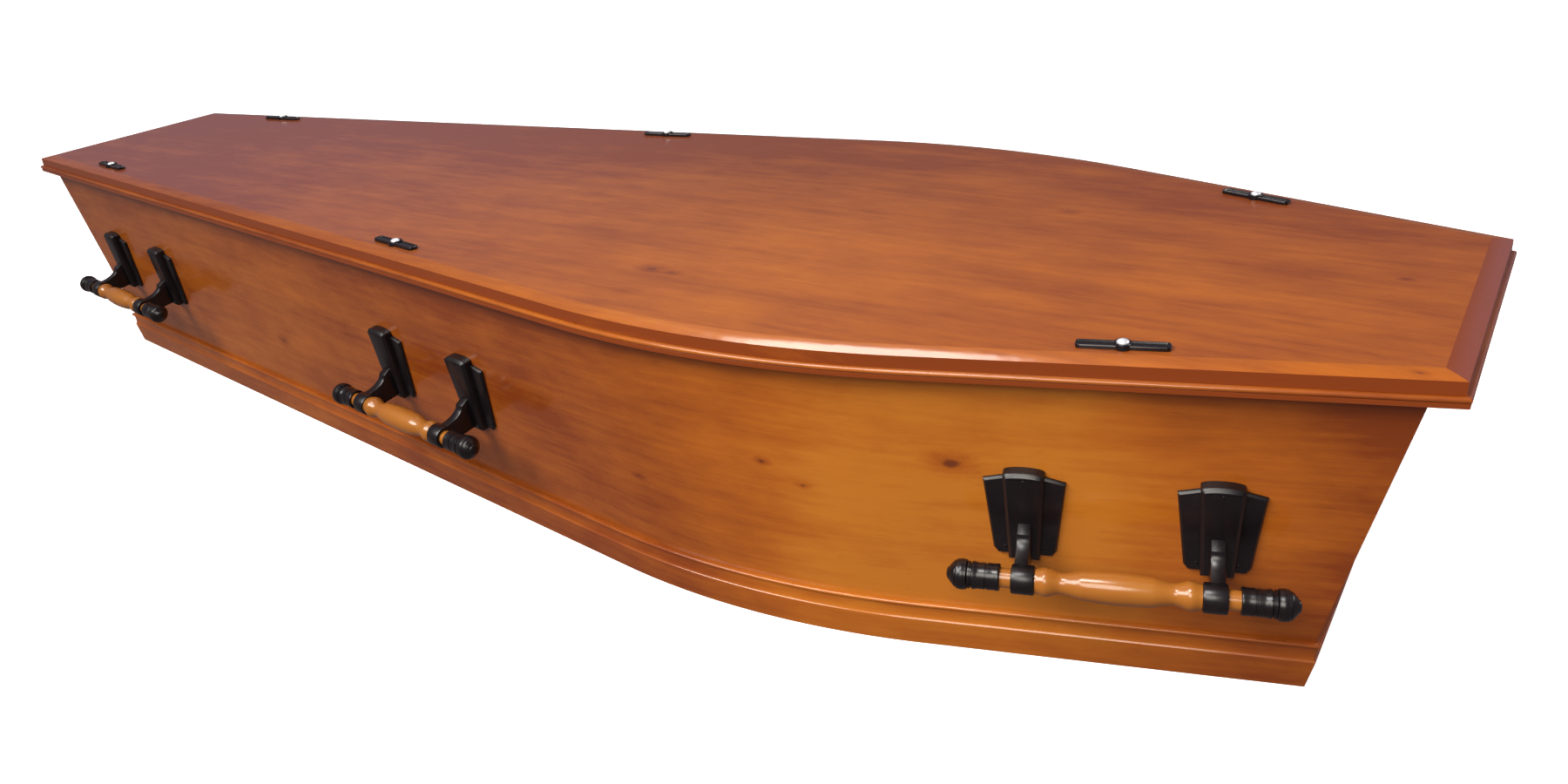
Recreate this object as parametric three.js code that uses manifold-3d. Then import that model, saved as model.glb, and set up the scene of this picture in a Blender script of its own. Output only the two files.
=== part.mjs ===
// A flat-lidded wooden coffin with curved shoulders, drop-bar handles and six lid fittings.
// Millimetres, +Z up. The head end is at +X, the foot end at -X, and the near side faces -Y.
// The origin is on the floor, under the middle of the lid.
import * as THREE from "three";
import { ParametricGeometry } from "three/addons/geometries/ParametricGeometry.js";
import { mergeVertices } from "three/addons/utils/BufferGeometryUtils.js";
import Module from "manifold-3d";

// Plan of the lid, measured over its bead
const lidLength = 1990;
const lidFootWidth = 316;
const lidShoulderWidth = 677; // across the corners that the shoulder curves round off
const lidHeadWidth = 330;
const shoulderFromHead = 560; // from the lid's head end to those corners
const shoulderRadius = 835;

// The box. Each lean is how far a board leans in from its top edge to the floor, and each overhang
// reaches from a board's face at its top edge out to the lid's bead.
const bodyHeight = 292.2; // from the floor to the top edges of the boards
const boardThickness = 18;
const baseThickness = 18;
const sideOverhang = 18;
const sideLean = 36.5;
const footOverhang = 11;
const footLean = 84;
const headOverhang = 26;
const headLean = 71.5;

// The plinth moulding, planted on the leaning boards
const plinthHeight = 46.5;
const plinthThickness = 6.5; // of its plain band
const plinthBandHeight = 29;
const plinthBeadRadius = 1.9;
const plinthBeadThickness = 5.4;
const plinthHollowThickness = 3.3; // where the hollow between bead and band is deepest

// The lid: a moulding that lies on the boards, and a panel that lies on the moulding
const lidMouldingThickness = 8.7;
const lidMouldingSeat = 16; // how far the moulding runs in over the boards' top edges
const lidBeadRadius = 2.2;
const lidListelSetback = 0.9; // of the plain edge under the bead
const lidPanelThickness = 13.9;
const lidPanelSetback = 4; // of the panel's upright edge from the bead's nose
const lidBevelRise = 2.8;
const lidBevelRun = 16.5;
const lidRimWidth = 30; // of the worked rim, from which the panel's flat middle is filled in

// Handles: two cast brackets, a turned bar and two end caps each
const handleFromFoot = 228; // from the lid's foot end to the middle of the handle
const handleFromMiddle = -22; // from the middle of the length, towards the head
const handleFromHead = 240;
const bracketSpacing = 154.8;
const barHeight = 131; // measured up the leaning board, as are the bracket's heights
const barStandoff = 52; // from the board's face to the bar's axis
const bracketBaseHeight = 116; // the bracket's lower edge
const wingHeight = 78.5;
const wingTopHalfWidth = 34;
const wingLowHalfWidth = 26.5;
const wingFootHalfWidth = 22.5;
const wingChamferHeight = 6;
const wingTopFall = 4.3; // how far the wing's top edge falls towards its outer corner
const wingThickness = 3.8;
const wingBevel = 1.8;
const ribTopHalfWidth = 17;
const ribFootHalfWidth = 13;
const ribHeight = 87.5;
const ribCrown = 3.5; // rise of the rib's rounded crest
const ribThickness = 12;
const ribBevel = 3;
const armWidth = 11.5;
const armShift = 1.1; // of the arm from the plate's middle, towards the bar's middle
const armTopHeight = 41; // above the bracket's lower edge, where the arm leaves the rib
const armShelfReach = 21.5; // from the board's face out to the shelf's edge
const armShelfFall = 4.5; // from the rib down to that edge
const armHollowDepth = 11; // from that edge down to where the arm's top runs into the sleeve
const armHollowEnd = 6; // from there to the bar's axis, across the bar
const armUndersideDrop = 1; // of the arm's lower edge below the wing's chamfer
const sleeveShift = 3.2; // of the sleeve from the plate's middle, towards the bar's middle
const sleeveLength = 19;
const sleeveRadius = 12.2;
const journalRadius = 8.2;
const barBellyRadius = 13.4;
const barWaistRadius = 12.1;
const barWaistShare = 0.6; // of the way from the bar's middle to its neck
const barNeckRadius = 8.8;
const barBulbRadius = 12;
const barBulbLength = 21; // from the sleeve's face to the neck
const barBulbPeak = 7; // from the sleeve's face to the bulb's thickest place
const barShoulderRadius = 10.4;
const barBareRing = 8.9; // the bare wood between a sleeve and an end cap
const barTenonLength = 15;
const capFerruleLength = 26.9;
const capFerruleRadius = 11.2;
const capCollarRadius = 12.9;
const capCollarLength = 9;
const capNoseRadius = 11.6;
const capNoseLength = 8.6;

// Lid fittings: a slim bar plate with a boss in the middle that holds a domed screw
const fittingFromFoot = 207;
const fittingFromMiddle = -40.5;
const fittingFromHead = 236;
const fittingInset = 33; // from the bead's nose to the fitting's centre line
const fittingLength = 72;
const fittingWidth = 11.5;
const fittingThickness = 3.8;
const fittingCornerCut = 2.8;
const fittingBevel = 1;
const bossHalfLength = 6.6;
const bossHalfWidth = 7.6;
const bossHeight = 4.8;
const bossFlare = 1.12; // how much wider the boss is at its foot
const bossRecess = 0.8;
const screwRadius = 5;
const screwRise = 2.2; // of the dome above the boss

const clearance = 0.3; // between pieces that touch

// How finely the round forms are cut
const shoulderSteps = 8;
const barSides = 12; // of the bar, its caps and the sleeves that hold it
const screwSides = 8;
const bossSides = 12;
const beadSteps = 3;
const hollowSteps = 2;
const armCurveSteps = 4;
const crestSteps = 4;
const domeSteps = 2;
const mergeDistance = 1e-4;
const reach = 4000; // half-space boxes are larger than the coffin

const footEnd = -lidLength / 2;
const headEnd = lidLength / 2;
const shoulderStation = headEnd - shoulderFromHead;
const handleStations = {
  foot: footEnd + handleFromFoot,
  middle: handleFromMiddle,
  head: headEnd - handleFromHead,
};
const fittingStations = {
  foot: footEnd + fittingFromFoot,
  middle: fittingFromMiddle,
  head: headEnd - fittingFromHead,
};

const wasm = await Module();
wasm.setup();

const pine = new THREE.MeshStandardMaterial({ color: 0xb5692c, roughness: 0.35, metalness: 0 });
const turnedPine = new THREE.MeshStandardMaterial({ color: 0xc87a35, roughness: 0.3, metalness: 0 });
const blackMetal = new THREE.MeshStandardMaterial({ color: 0x17141a, roughness: 0.4, metalness: 0.3 });
const brightMetal = new THREE.MeshStandardMaterial({ color: 0xd9dadf, roughness: 0.2, metalness: 1 });

// Solids

function toSolid(geometry) {
  const bare = geometry.clone();
  bare.deleteAttribute("normal");
  bare.deleteAttribute("uv");
  const merged = mergeVertices(bare, mergeDistance);
  return new wasm.Manifold(
    new wasm.Mesh({
      numProp: 3,
      vertProperties: merged.getAttribute("position").array,
      triVerts: new Uint32Array(merged.getIndex().array),
    }),
  );
}

function toGeometry(solid) {
  const mesh = solid.getMesh();
  return new THREE.BufferGeometry()
    .setAttribute("position", new THREE.BufferAttribute(mesh.vertProperties, 3))
    .setIndex(new THREE.BufferAttribute(mesh.triVerts, 1));
}

// A box that fills everything on the side of a plane that the normal points to.
function halfSpace(point, normal) {
  const turn = new THREE.Quaternion().setFromUnitVectors(new THREE.Vector3(0, 0, 1), normal);
  const box = new THREE.BoxGeometry(reach * 2, reach * 2, reach);
  box.translate(0, 0, reach / 2).applyQuaternion(turn).translate(point.x, point.y, point.z);
  return toSolid(box);
}

// Plan of the coffin

function crossing(pointA, alongA, pointB, alongB) {
  const gap = pointB.clone().sub(pointA);
  return pointA.clone().addScaledVector(alongA, gap.cross(alongB) / alongA.cross(alongB));
}

// The straight parts of the far side, as points on the lid's outline with their directions.
const footCorner = new THREE.Vector2(footEnd, lidFootWidth / 2);
const shoulderCorner = new THREE.Vector2(shoulderStation, lidShoulderWidth / 2);
const headCorner = new THREE.Vector2(headEnd, lidHeadWidth / 2);
const footRun = shoulderCorner.clone().sub(footCorner).normalize();
const headRun = headCorner.clone().sub(shoulderCorner).normalize();
const outwardOf = (run) => new THREE.Vector2(-run.y, run.x);

// Insets say how far in from the lid's outline something lies, at the sides, the foot and the head.
const even = (inset) => ({ side: inset, foot: inset, head: inset });

// One side of the outline from foot to head, set in from the lid's outline.
function sideOutline(inset) {
  const onFootRun = footCorner.clone().addScaledVector(outwardOf(footRun), -inset.side);
  const onHeadRun = headCorner.clone().addScaledVector(outwardOf(headRun), -inset.side);
  const across = new THREE.Vector2(0, 1);
  const footLine = new THREE.Vector2(footEnd + inset.foot, 0);
  const headLine = new THREE.Vector2(headEnd - inset.head, 0);
  const corner = crossing(onFootRun, footRun, onHeadRun, headRun);
  const radius = shoulderRadius - inset.side;
  const turn = footRun.angleTo(headRun);
  const arcStart = corner.clone().addScaledVector(footRun, -radius * Math.tan(turn / 2));
  const arcCentre = arcStart.clone().addScaledVector(outwardOf(footRun), -radius);
  const startAngle = outwardOf(footRun).angle();
  const arc = new THREE.EllipseCurve(
    arcCentre.x, arcCentre.y, radius, radius, startAngle, startAngle - turn, true,
  );
  return [
    crossing(onFootRun, footRun, footLine, across),
    ...arc.getPoints(shoulderSteps),
    crossing(onHeadRun, headRun, headLine, across),
  ];
}

// The whole outline, anticlockwise from the near foot corner.
function outline(inset) {
  const far = sideOutline(inset);
  const near = far.map((p) => new THREE.Vector2(p.x, -p.y));
  return [...near, ...far.reverse()];
}

// The insets of the boards' faces at a height, less what stands proud of them.
function boardInsets(height, proud) {
  const share = 1 - height / bodyHeight;
  return {
    side: sideOverhang + sideLean * share - proud,
    foot: footOverhang + footLean * share - proud,
    head: headOverhang + headLean * share - proud,
  };
}

// A closed frame that follows the plan. The profile's points are insets with a height z, in order
// anticlockwise when the frame's near side is looked at along +X.
function frameAround(profile) {
  const loops = profile.map(outline);
  const count = loops[0].length;
  const surface = (u, v, target) => {
    const row = Math.round(v * profile.length) % profile.length;
    const point = loops[row][Math.round(u * count) % count];
    target.set(point.x, point.y, profile[row].z);
  };
  return toSolid(new ParametricGeometry(surface, count, profile.length));
}

// A filled slab of the plan.
function slabOf(inset, bottom, thickness) {
  const slab = new THREE.ExtrudeGeometry(new THREE.Shape(outline(inset)), {
    depth: thickness,
    bevelEnabled: false,
  });
  return toSolid(slab.translate(0, 0, bottom));
}

// Cuts a frame into its near, far, foot and head lengths at mitres. The mitre at a corner holds the
// corner's outer points at the bottom and the top, and its inner point at the top.
function mitredLengths(frame, outerLow, outerHigh, innerHigh) {
  const at = (spot, xSign, ySign) => {
    const corner = sideOutline(spot).at(xSign < 0 ? 0 : -1);
    return new THREE.Vector3(corner.x, ySign * corner.y, spot.z);
  };
  const endSpaces = (xSign, offset) =>
    [-1, 1].map((ySign) => {
      const low = at(outerLow, xSign, ySign);
      const high = at(outerHigh, xSign, ySign);
      const inner = at(innerHigh, xSign, ySign);
      const normal = high.clone().sub(low).cross(inner.clone().sub(low)).normalize();
      normal.multiplyScalar(Math.sign(normal.x) * xSign);
      return halfSpace(high.clone().addScaledVector(normal, offset), normal);
    });
  const endLength = (xSign) => {
    const [near, far] = endSpaces(xSign, clearance / 2);
    return frame.intersect(near).intersect(far);
  };
  const sideLength = (ySign) => {
    const half = halfSpace(new THREE.Vector3(), new THREE.Vector3(0, ySign, 0));
    const index = ySign < 0 ? 0 : 1;
    const footSpace = endSpaces(-1, -clearance / 2)[index];
    const headSpace = endSpaces(1, -clearance / 2)[index];
    return frame.intersect(half).subtract(footSpace).subtract(headSpace);
  };
  return { near: sideLength(-1), far: sideLength(1), foot: endLength(-1), head: endLength(1) };
}

// Points of a round stretch from one angle to another, in degrees, as [across, up] pairs.
function roundStretch(centreAcross, centreUp, radiusAcross, radiusUp, fromDegrees, toDegrees, steps) {
  const from = THREE.MathUtils.degToRad(fromDegrees);
  const to = THREE.MathUtils.degToRad(toDegrees);
  const curve = new THREE.EllipseCurve(
    centreAcross, centreUp, radiusAcross, radiusUp, from, to, to < from,
  );
  return curve.getPoints(steps).map((p) => [p.x, p.y]);
}

const model = new THREE.Group();

function addMesh(parent, name, geometry, material) {
  const mesh = new THREE.Mesh(geometry, material);
  mesh.name = name;
  parent.add(mesh);
}

// The boards of the box

const onBoards = (height, proud) => ({ ...boardInsets(height, proud), z: height });

function addBox() {
  const outerLow = onBoards(0, 0);
  const outerHigh = onBoards(bodyHeight, 0);
  const innerHigh = onBoards(bodyHeight, -boardThickness);
  const innerLow = onBoards(0, -boardThickness);
  const frame = frameAround([outerLow, outerHigh, innerHigh, innerLow]);
  const boards = mitredLengths(frame, outerLow, outerHigh, innerHigh);
  addMesh(model, "side_board_near", toGeometry(boards.near), pine);
  addMesh(model, "side_board_far", toGeometry(boards.far), pine);
  addMesh(model, "end_board_foot", toGeometry(boards.foot), pine);
  addMesh(model, "end_board_head", toGeometry(boards.head), pine);
  const floor = boardInsets(0, -boardThickness - clearance);
  const base = slabOf(floor, 0, baseThickness);
  addMesh(model, "base_board", toGeometry(base), pine);
}

// The plinth moulding: a small bead on top, a hollow under it and a plain band down to the floor

function addPlinth() {
  const beadCentre = plinthHeight - plinthBeadRadius;
  const hollowTop = beadCentre - plinthBeadRadius;
  const bead = roundStretch(
    plinthBeadThickness - plinthBeadRadius, beadCentre, plinthBeadRadius, plinthBeadRadius, 90, -90, beadSteps,
  );
  const hollow = roundStretch(
    plinthThickness, hollowTop, plinthThickness - plinthHollowThickness, hollowTop - plinthBandHeight, 180, 270,
    hollowSteps,
  );
  const section = [[clearance, 0], [clearance, plinthHeight], ...bead, ...hollow, [plinthThickness, 0]];
  const profile = section.map(([proud, z]) => onBoards(z, proud)).reverse();
  const lengths = mitredLengths(
    frameAround(profile),
    onBoards(0, plinthThickness),
    onBoards(plinthHeight, plinthThickness),
    onBoards(plinthHeight, 0),
  );
  for (const [place, solid] of Object.entries(lengths)) {
    addMesh(model, `plinth_${place}`, toGeometry(solid), pine);
  }
}

// The lid

const lidMouldingBottom = bodyHeight + clearance;
const lidPanelBottom = lidMouldingBottom + lidMouldingThickness + clearance;
const lidTop = lidPanelBottom + lidPanelThickness;

// A bead moulding: a bead on top and a plain edge under it. It runs in over each board by the seat.
function addLidMoulding() {
  const beadTop = lidMouldingBottom + lidMouldingThickness;
  const beadCentre = beadTop - lidBeadRadius;
  const inner = (z) => {
    const boardTop = boardInsets(bodyHeight, -lidMouldingSeat);
    return { ...boardTop, z };
  };
  const outer = [
    ...roundStretch(-lidBeadRadius, beadCentre, lidBeadRadius, lidBeadRadius, 90, -60, beadSteps),
    [-lidListelSetback, beadCentre - lidBeadRadius],
    [-lidListelSetback, lidMouldingBottom],
  ];
  const face = ([out, z]) => ({ ...even(-out), z });
  const profile = [inner(lidMouldingBottom), inner(beadTop), ...outer.map(face)].reverse();
  const lengths = mitredLengths(
    frameAround(profile),
    face([0, lidMouldingBottom]),
    face([0, beadTop]),
    face([-lidBeadRadius, beadTop]),
  );
  for (const [place, solid] of Object.entries(lengths)) {
    addMesh(model, `lid_moulding_${place}`, toGeometry(solid), pine);
  }
}

// The panel has an upright edge and a long, shallow bevel between two sharp arrises.
function addLidPanel() {
  const flatInset = lidPanelSetback + lidBevelRun;
  const rimInset = flatInset + lidRimWidth;
  const section = [
    [rimInset, lidPanelBottom],
    [rimInset, lidTop],
    [flatInset, lidTop],
    [lidPanelSetback, lidTop - lidBevelRise],
    [lidPanelSetback, lidPanelBottom],
  ];
  const profile = section.map(([inset, z]) => ({ ...even(inset), z })).reverse();
  const middle = slabOf(even(rimInset - lidPanelThickness), lidPanelBottom, lidPanelThickness);
  addMesh(model, "lid_panel", toGeometry(frameAround(profile).add(middle)), pine);
}

// A group that stands on a straight side, at a station along the coffin and set in from the lid's
// outline. Its X runs along the side and its -Y points outwards.
function sideGroup(ySign, station, inset, height) {
  const run = station < shoulderStation ? footRun : headRun;
  const onRun = shoulderCorner.clone().addScaledVector(outwardOf(run), -inset);
  const place = crossing(onRun, run, new THREE.Vector2(station, 0), new THREE.Vector2(0, 1));
  const group = new THREE.Group();
  group.position.set(place.x, ySign * place.y, height);
  group.rotation.z = ySign < 0 ? -run.angle() : Math.PI + run.angle();
  model.add(group);
  return group;
}

// Handles. In a handle's own frame Y is 0 on the board's face and Z is measured up the face.

function extrudedShape(points, depth, bevel) {
  const shape = new THREE.Shape(points.map(([across, up]) => new THREE.Vector2(across, up)));
  return new THREE.ExtrudeGeometry(shape, {
    depth: depth - bevel,
    bevelEnabled: bevel > 0,
    bevelThickness: bevel,
    bevelSize: bevel,
    bevelOffset: -bevel,
    bevelSegments: 1,
  });
}

// A shape drawn on the board's face, standing out of it. The part of it within the board is cut off.
function raisedFromFace(points, thickness, bevel) {
  const geometry = extrudedShape(points, thickness, bevel);
  const solid = toSolid(geometry.rotateX(Math.PI / 2));
  return solid.subtract(halfSpace(new THREE.Vector3(0, -clearance, 0), new THREE.Vector3(0, 1, 0)));
}

// One bracket, on the handle's left (-1) or right (1) hand.
function bracketSolid(hand) {
  const low = bracketBaseHeight;
  const wing = [
    [-wingFootHalfWidth, low],
    [wingFootHalfWidth, low],
    [wingLowHalfWidth, low + wingChamferHeight],
    [wingTopHalfWidth, low + wingHeight],
    [ribTopHalfWidth, low + wingHeight + wingTopFall],
    [-ribTopHalfWidth, low + wingHeight + wingTopFall],
    [-wingTopHalfWidth, low + wingHeight],
    [-wingLowHalfWidth, low + wingChamferHeight],
  ];
  const crest = roundStretch(0, low + ribHeight, ribTopHalfWidth, ribCrown, 0, 180, crestSteps);
  const rib = [[-ribFootHalfWidth, low], [ribFootHalfWidth, low], ...crest];
  const plates = raisedFromFace(wing, wingThickness, wingBevel)
    .add(raisedFromFace(rib, ribThickness, ribBevel));

  // The arm is drawn in its side view, as [out from the board, up]: a short shelf that leaves the
  // rib, and a hollow from the shelf's edge to the top of the sleeve.
  const armRoot = wingThickness - wingBevel;
  const shelfHeight = low + armTopHeight - armShelfFall;
  const hollowEnd = barStandoff - armHollowEnd;
  const hollow = roundStretch(
    hollowEnd, shelfHeight, hollowEnd - armShelfReach, armHollowDepth, 180, 270, armCurveSteps,
  );
  const underside = low + wingChamferHeight - armUndersideDrop;
  const armOutline = [
    [armRoot, underside],
    [barStandoff, underside - armUndersideDrop],
    [barStandoff, barHeight],
    ...hollow.reverse(),
    [ribThickness, low + armTopHeight],
    [armRoot, low + armTopHeight],
  ];
  const arm = extrudedShape(armOutline, armWidth, 0);
  arm.translate(0, 0, -armWidth / 2).rotateX(Math.PI / 2).rotateZ(-Math.PI / 2);
  arm.translate(-hand * armShift, 0, 0);
  const sleeve = new THREE.CylinderGeometry(sleeveRadius, sleeveRadius, sleeveLength, barSides);
  const bore = new THREE.CylinderGeometry(
    journalRadius + clearance, journalRadius + clearance, sleeveLength * 2, barSides,
  );
  for (const round of [sleeve, bore]) {
    round.rotateZ(Math.PI / 2).translate(-hand * sleeveShift, -barStandoff, barHeight);
  }
  return plates.add(toSolid(arm)).add(toSolid(sleeve)).subtract(toSolid(bore));
}

// A turned piece, from [along, radius] pairs that start and end on the bar's axis.
function turned(pairs, sides) {
  const profile = pairs.map(([along, radius]) => new THREE.Vector2(radius, along));
  const lathe = new THREE.LatheGeometry(profile, sides);
  return lathe.rotateZ(-Math.PI / 2).translate(0, -barStandoff, barHeight);
}

const sleeveInnerFace = (bracketSpacing - sleeveLength) / 2 - sleeveShift;
const capStart = sleeveInnerFace + sleeveLength + barBareRing;

function barGeometry() {
  const neck = sleeveInnerFace - barBulbLength;
  const half = [
    [neck * barWaistShare, barWaistRadius],
    [neck, barNeckRadius],
    [sleeveInnerFace - barBulbPeak, barBulbRadius],
    [sleeveInnerFace - clearance, barShoulderRadius],
    [sleeveInnerFace - clearance, journalRadius],
    [capStart + barTenonLength, journalRadius],
    [capStart + barTenonLength, 0],
  ];
  const mirrored = half.map(([along, radius]) => [-along, radius]).reverse();
  return turned([...mirrored, [0, barBellyRadius], ...half], barSides);
}

function capGeometry() {
  const ferruleEnd = capStart + capFerruleLength;
  const collarEnd = ferruleEnd + capCollarLength;
  const nose = roundStretch(collarEnd, 0, capNoseLength, capNoseRadius, 90, 0, domeSteps);
  return turned(
    [
      [capStart + barTenonLength + clearance, 0],
      [capStart + barTenonLength + clearance, journalRadius + clearance],
      [capStart + clearance, journalRadius + clearance],
      [capStart + clearance, capFerruleRadius],
      [ferruleEnd, capFerruleRadius],
      [ferruleEnd, capCollarRadius],
      [collarEnd, capCollarRadius],
      ...nose,
    ],
    barSides,
  );
}

function addHandle(name, ySign, station) {
  const floorInset = boardInsets(0, 0).side;
  const upright = sideGroup(ySign, station, floorInset, 0);
  const handle = new THREE.Group();
  handle.rotation.x = Math.atan2(sideLean, bodyHeight);
  upright.add(handle);
  const cap = capGeometry();
  for (const [hand, xSign] of [["left", -1], ["right", 1]]) {
    const bracket = toGeometry(bracketSolid(xSign)).translate(xSign * bracketSpacing / 2, 0, 0);
    addMesh(handle, `${name}_bracket_${hand}`, bracket, blackMetal);
    const turnedCap = cap.clone();
    if (xSign < 0) {
      turnedCap.rotateZ(Math.PI).translate(0, -2 * barStandoff, 0);
    }
    addMesh(handle, `${name}_cap_${hand}`, turnedCap, blackMetal);
  }
  addMesh(handle, `${name}_bar`, barGeometry(), turnedPine);
}

// Lid fittings. In a fitting's own frame Z is 0 on the lid's top.

function fittingPlate() {
  const halfLength = fittingLength / 2;
  const halfWidth = fittingWidth / 2;
  const rightEnd = [
    [halfLength - fittingCornerCut, -halfWidth],
    [halfLength, -halfWidth + fittingCornerCut],
    [halfLength, halfWidth - fittingCornerCut],
    [halfLength - fittingCornerCut, halfWidth],
  ];
  const leftEnd = rightEnd.map(([along, across]) => [-along, -across]);
  const bar = extrudedShape([...rightEnd, ...leftEnd], fittingThickness, fittingBevel);
  const boss = new THREE.CylinderGeometry(1, bossFlare, bossHeight * 2, bossSides);
  boss.rotateX(Math.PI / 2).scale(bossHalfLength, bossHalfWidth, 1);
  const recess = new THREE.CylinderGeometry(
    screwRadius + clearance, screwRadius + clearance, bossRecess * 2, screwSides,
  );
  recess.rotateX(Math.PI / 2).translate(0, 0, bossHeight);
  return toSolid(bar)
    .add(toSolid(boss))
    .subtract(toSolid(recess))
    .subtract(halfSpace(new THREE.Vector3(0, 0, clearance), new THREE.Vector3(0, 0, -1)));
}

function screwGeometry() {
  const seat = bossHeight - bossRecess + clearance;
  const dome = roundStretch(0, bossHeight, screwRadius, screwRise, 0, 90, domeSteps);
  const pairs = [[0, seat], [screwRadius, seat], ...dome];
  const profile = pairs.map(([radius, up]) => new THREE.Vector2(radius, up));
  return new THREE.LatheGeometry(profile, screwSides).rotateX(Math.PI / 2);
}

function addFitting(name, ySign, station) {
  const group = sideGroup(ySign, station, fittingInset, lidTop);
  addMesh(group, `${name}_plate`, toGeometry(fittingPlate()), blackMetal);
  addMesh(group, `${name}_screw`, screwGeometry(), brightMetal);
}

addBox();
addPlinth();
addLidMoulding();
addLidPanel();
for (const [side, ySign] of [["near", -1], ["far", 1]]) {
  for (const [place, station] of Object.entries(handleStations)) {
    addHandle(`handle_${side}_${place}`, ySign, station);
  }
  for (const [place, station] of Object.entries(fittingStations)) {
    addFitting(`lid_fitting_${side}_${place}`, ySign, station);
  }
}

export default model;
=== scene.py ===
"""A wooden coffin of stained and varnished pine, with drop-bar handles and lid fittings.

The file is laid out as a Blender add-on and is run as a script. Lengths are in metres, +Z is up,
the head end is at +X and the near side faces -Y.
"""

import math
from collections import namedtuple

import bmesh
import bpy
from bpy.props import FloatProperty, FloatVectorProperty, IntProperty, PointerProperty
from mathutils import Matrix, Vector


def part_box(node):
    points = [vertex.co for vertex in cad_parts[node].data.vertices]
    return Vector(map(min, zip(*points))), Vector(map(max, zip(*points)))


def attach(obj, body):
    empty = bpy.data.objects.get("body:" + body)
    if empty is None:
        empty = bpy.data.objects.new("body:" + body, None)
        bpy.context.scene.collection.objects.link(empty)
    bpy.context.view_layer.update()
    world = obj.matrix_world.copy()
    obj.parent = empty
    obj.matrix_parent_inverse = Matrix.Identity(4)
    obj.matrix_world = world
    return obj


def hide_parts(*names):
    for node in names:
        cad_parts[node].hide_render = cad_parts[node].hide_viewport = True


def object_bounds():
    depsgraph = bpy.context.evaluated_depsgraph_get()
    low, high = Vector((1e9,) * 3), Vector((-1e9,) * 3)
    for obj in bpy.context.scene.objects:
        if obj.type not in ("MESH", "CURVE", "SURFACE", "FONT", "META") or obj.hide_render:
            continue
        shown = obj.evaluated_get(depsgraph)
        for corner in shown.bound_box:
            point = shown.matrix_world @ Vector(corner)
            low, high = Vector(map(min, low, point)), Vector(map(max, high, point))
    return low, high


bl_info = {
    "name": "Wooden coffin",
    "version": (1, 0, 0),
    "blender": (4, 5, 0),
    "location": "3D View > Sidebar > Coffin",
    "description": "Boards, mouldings, handles and lid fittings of a stained pine coffin",
    "category": "Object",
}

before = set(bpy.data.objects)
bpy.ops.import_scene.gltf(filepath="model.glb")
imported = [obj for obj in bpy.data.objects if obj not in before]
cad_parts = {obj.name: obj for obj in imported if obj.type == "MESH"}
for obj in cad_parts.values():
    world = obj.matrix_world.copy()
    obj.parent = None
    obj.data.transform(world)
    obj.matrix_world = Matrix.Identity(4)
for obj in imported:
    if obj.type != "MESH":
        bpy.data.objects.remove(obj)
CAD_LOW, CAD_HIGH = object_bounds()

SIDES = {"near": -1, "far": 1}
STATIONS = [(side, place) for side in SIDES for place in ("foot", "middle", "head")]
SHARP_ANGLE = math.radians(24)
UP = Vector((0, 0, 1))

# Between pieces that meet, so that no two faces lie in one plane
CLEARANCE = 0.0003


def middle_of(node):
    low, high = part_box(node)
    return (low + high) / 2


def top_of(node):
    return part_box(node)[1].z


def bottom_of(node):
    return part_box(node)[0].z


def length_setting(name, description, default):
    return FloatProperty(name=name, description=description, default=default, min=0, unit="LENGTH")


def share_setting(name, description, default):
    return FloatProperty(name=name, description=description, default=default, min=0, max=1, subtype="FACTOR")


def strength_setting(name, description, default, unit="NONE"):
    return FloatProperty(name=name, description=description, default=default, min=0, unit=unit)


def angle_setting(name, description, degrees):
    return FloatProperty(name=name, description=description, default=math.radians(degrees), subtype="ANGLE")


def count_setting(name, description, default, least):
    return IntProperty(name=name, description=description, default=default, min=least)


def colour_setting(name, description, default):
    return FloatVectorProperty(
        name=name, description=description, default=default, subtype="COLOR", size=3, min=0, max=1
    )


def vector_setting(name, description, default, subtype):
    return FloatVectorProperty(name=name, description=description, default=default, size=3, subtype=subtype)


# Settings


class CoffinPlan(bpy.types.PropertyGroup):
    """The lid's outline over its bead, and how the box stands under it."""

    length: length_setting("Length", "From the foot to the head", CAD_HIGH.x - CAD_LOW.x)
    foot_width: length_setting("Foot width", "Across the foot end", 2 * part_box("lid_moulding_foot")[1].y)
    head_width: length_setting("Head width", "Across the head end", 2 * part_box("lid_moulding_head")[1].y)
    shoulder_width: length_setting("Shoulder width", "Across the corners that its curves round off", 0.677)
    shoulder_from_head: length_setting("Shoulder", "From the head end to those corners", 0.56)
    shoulder_radius: length_setting("Shoulder radius", "Of the curve in plan", 0.835)
    shoulder_steps: count_setting("Shoulder steps", "Cuts in the curve", 56, least=8)
    mitre_gap: length_setting("Mitre gap", "Between two lengths that meet at a corner", CLEARANCE)


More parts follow.
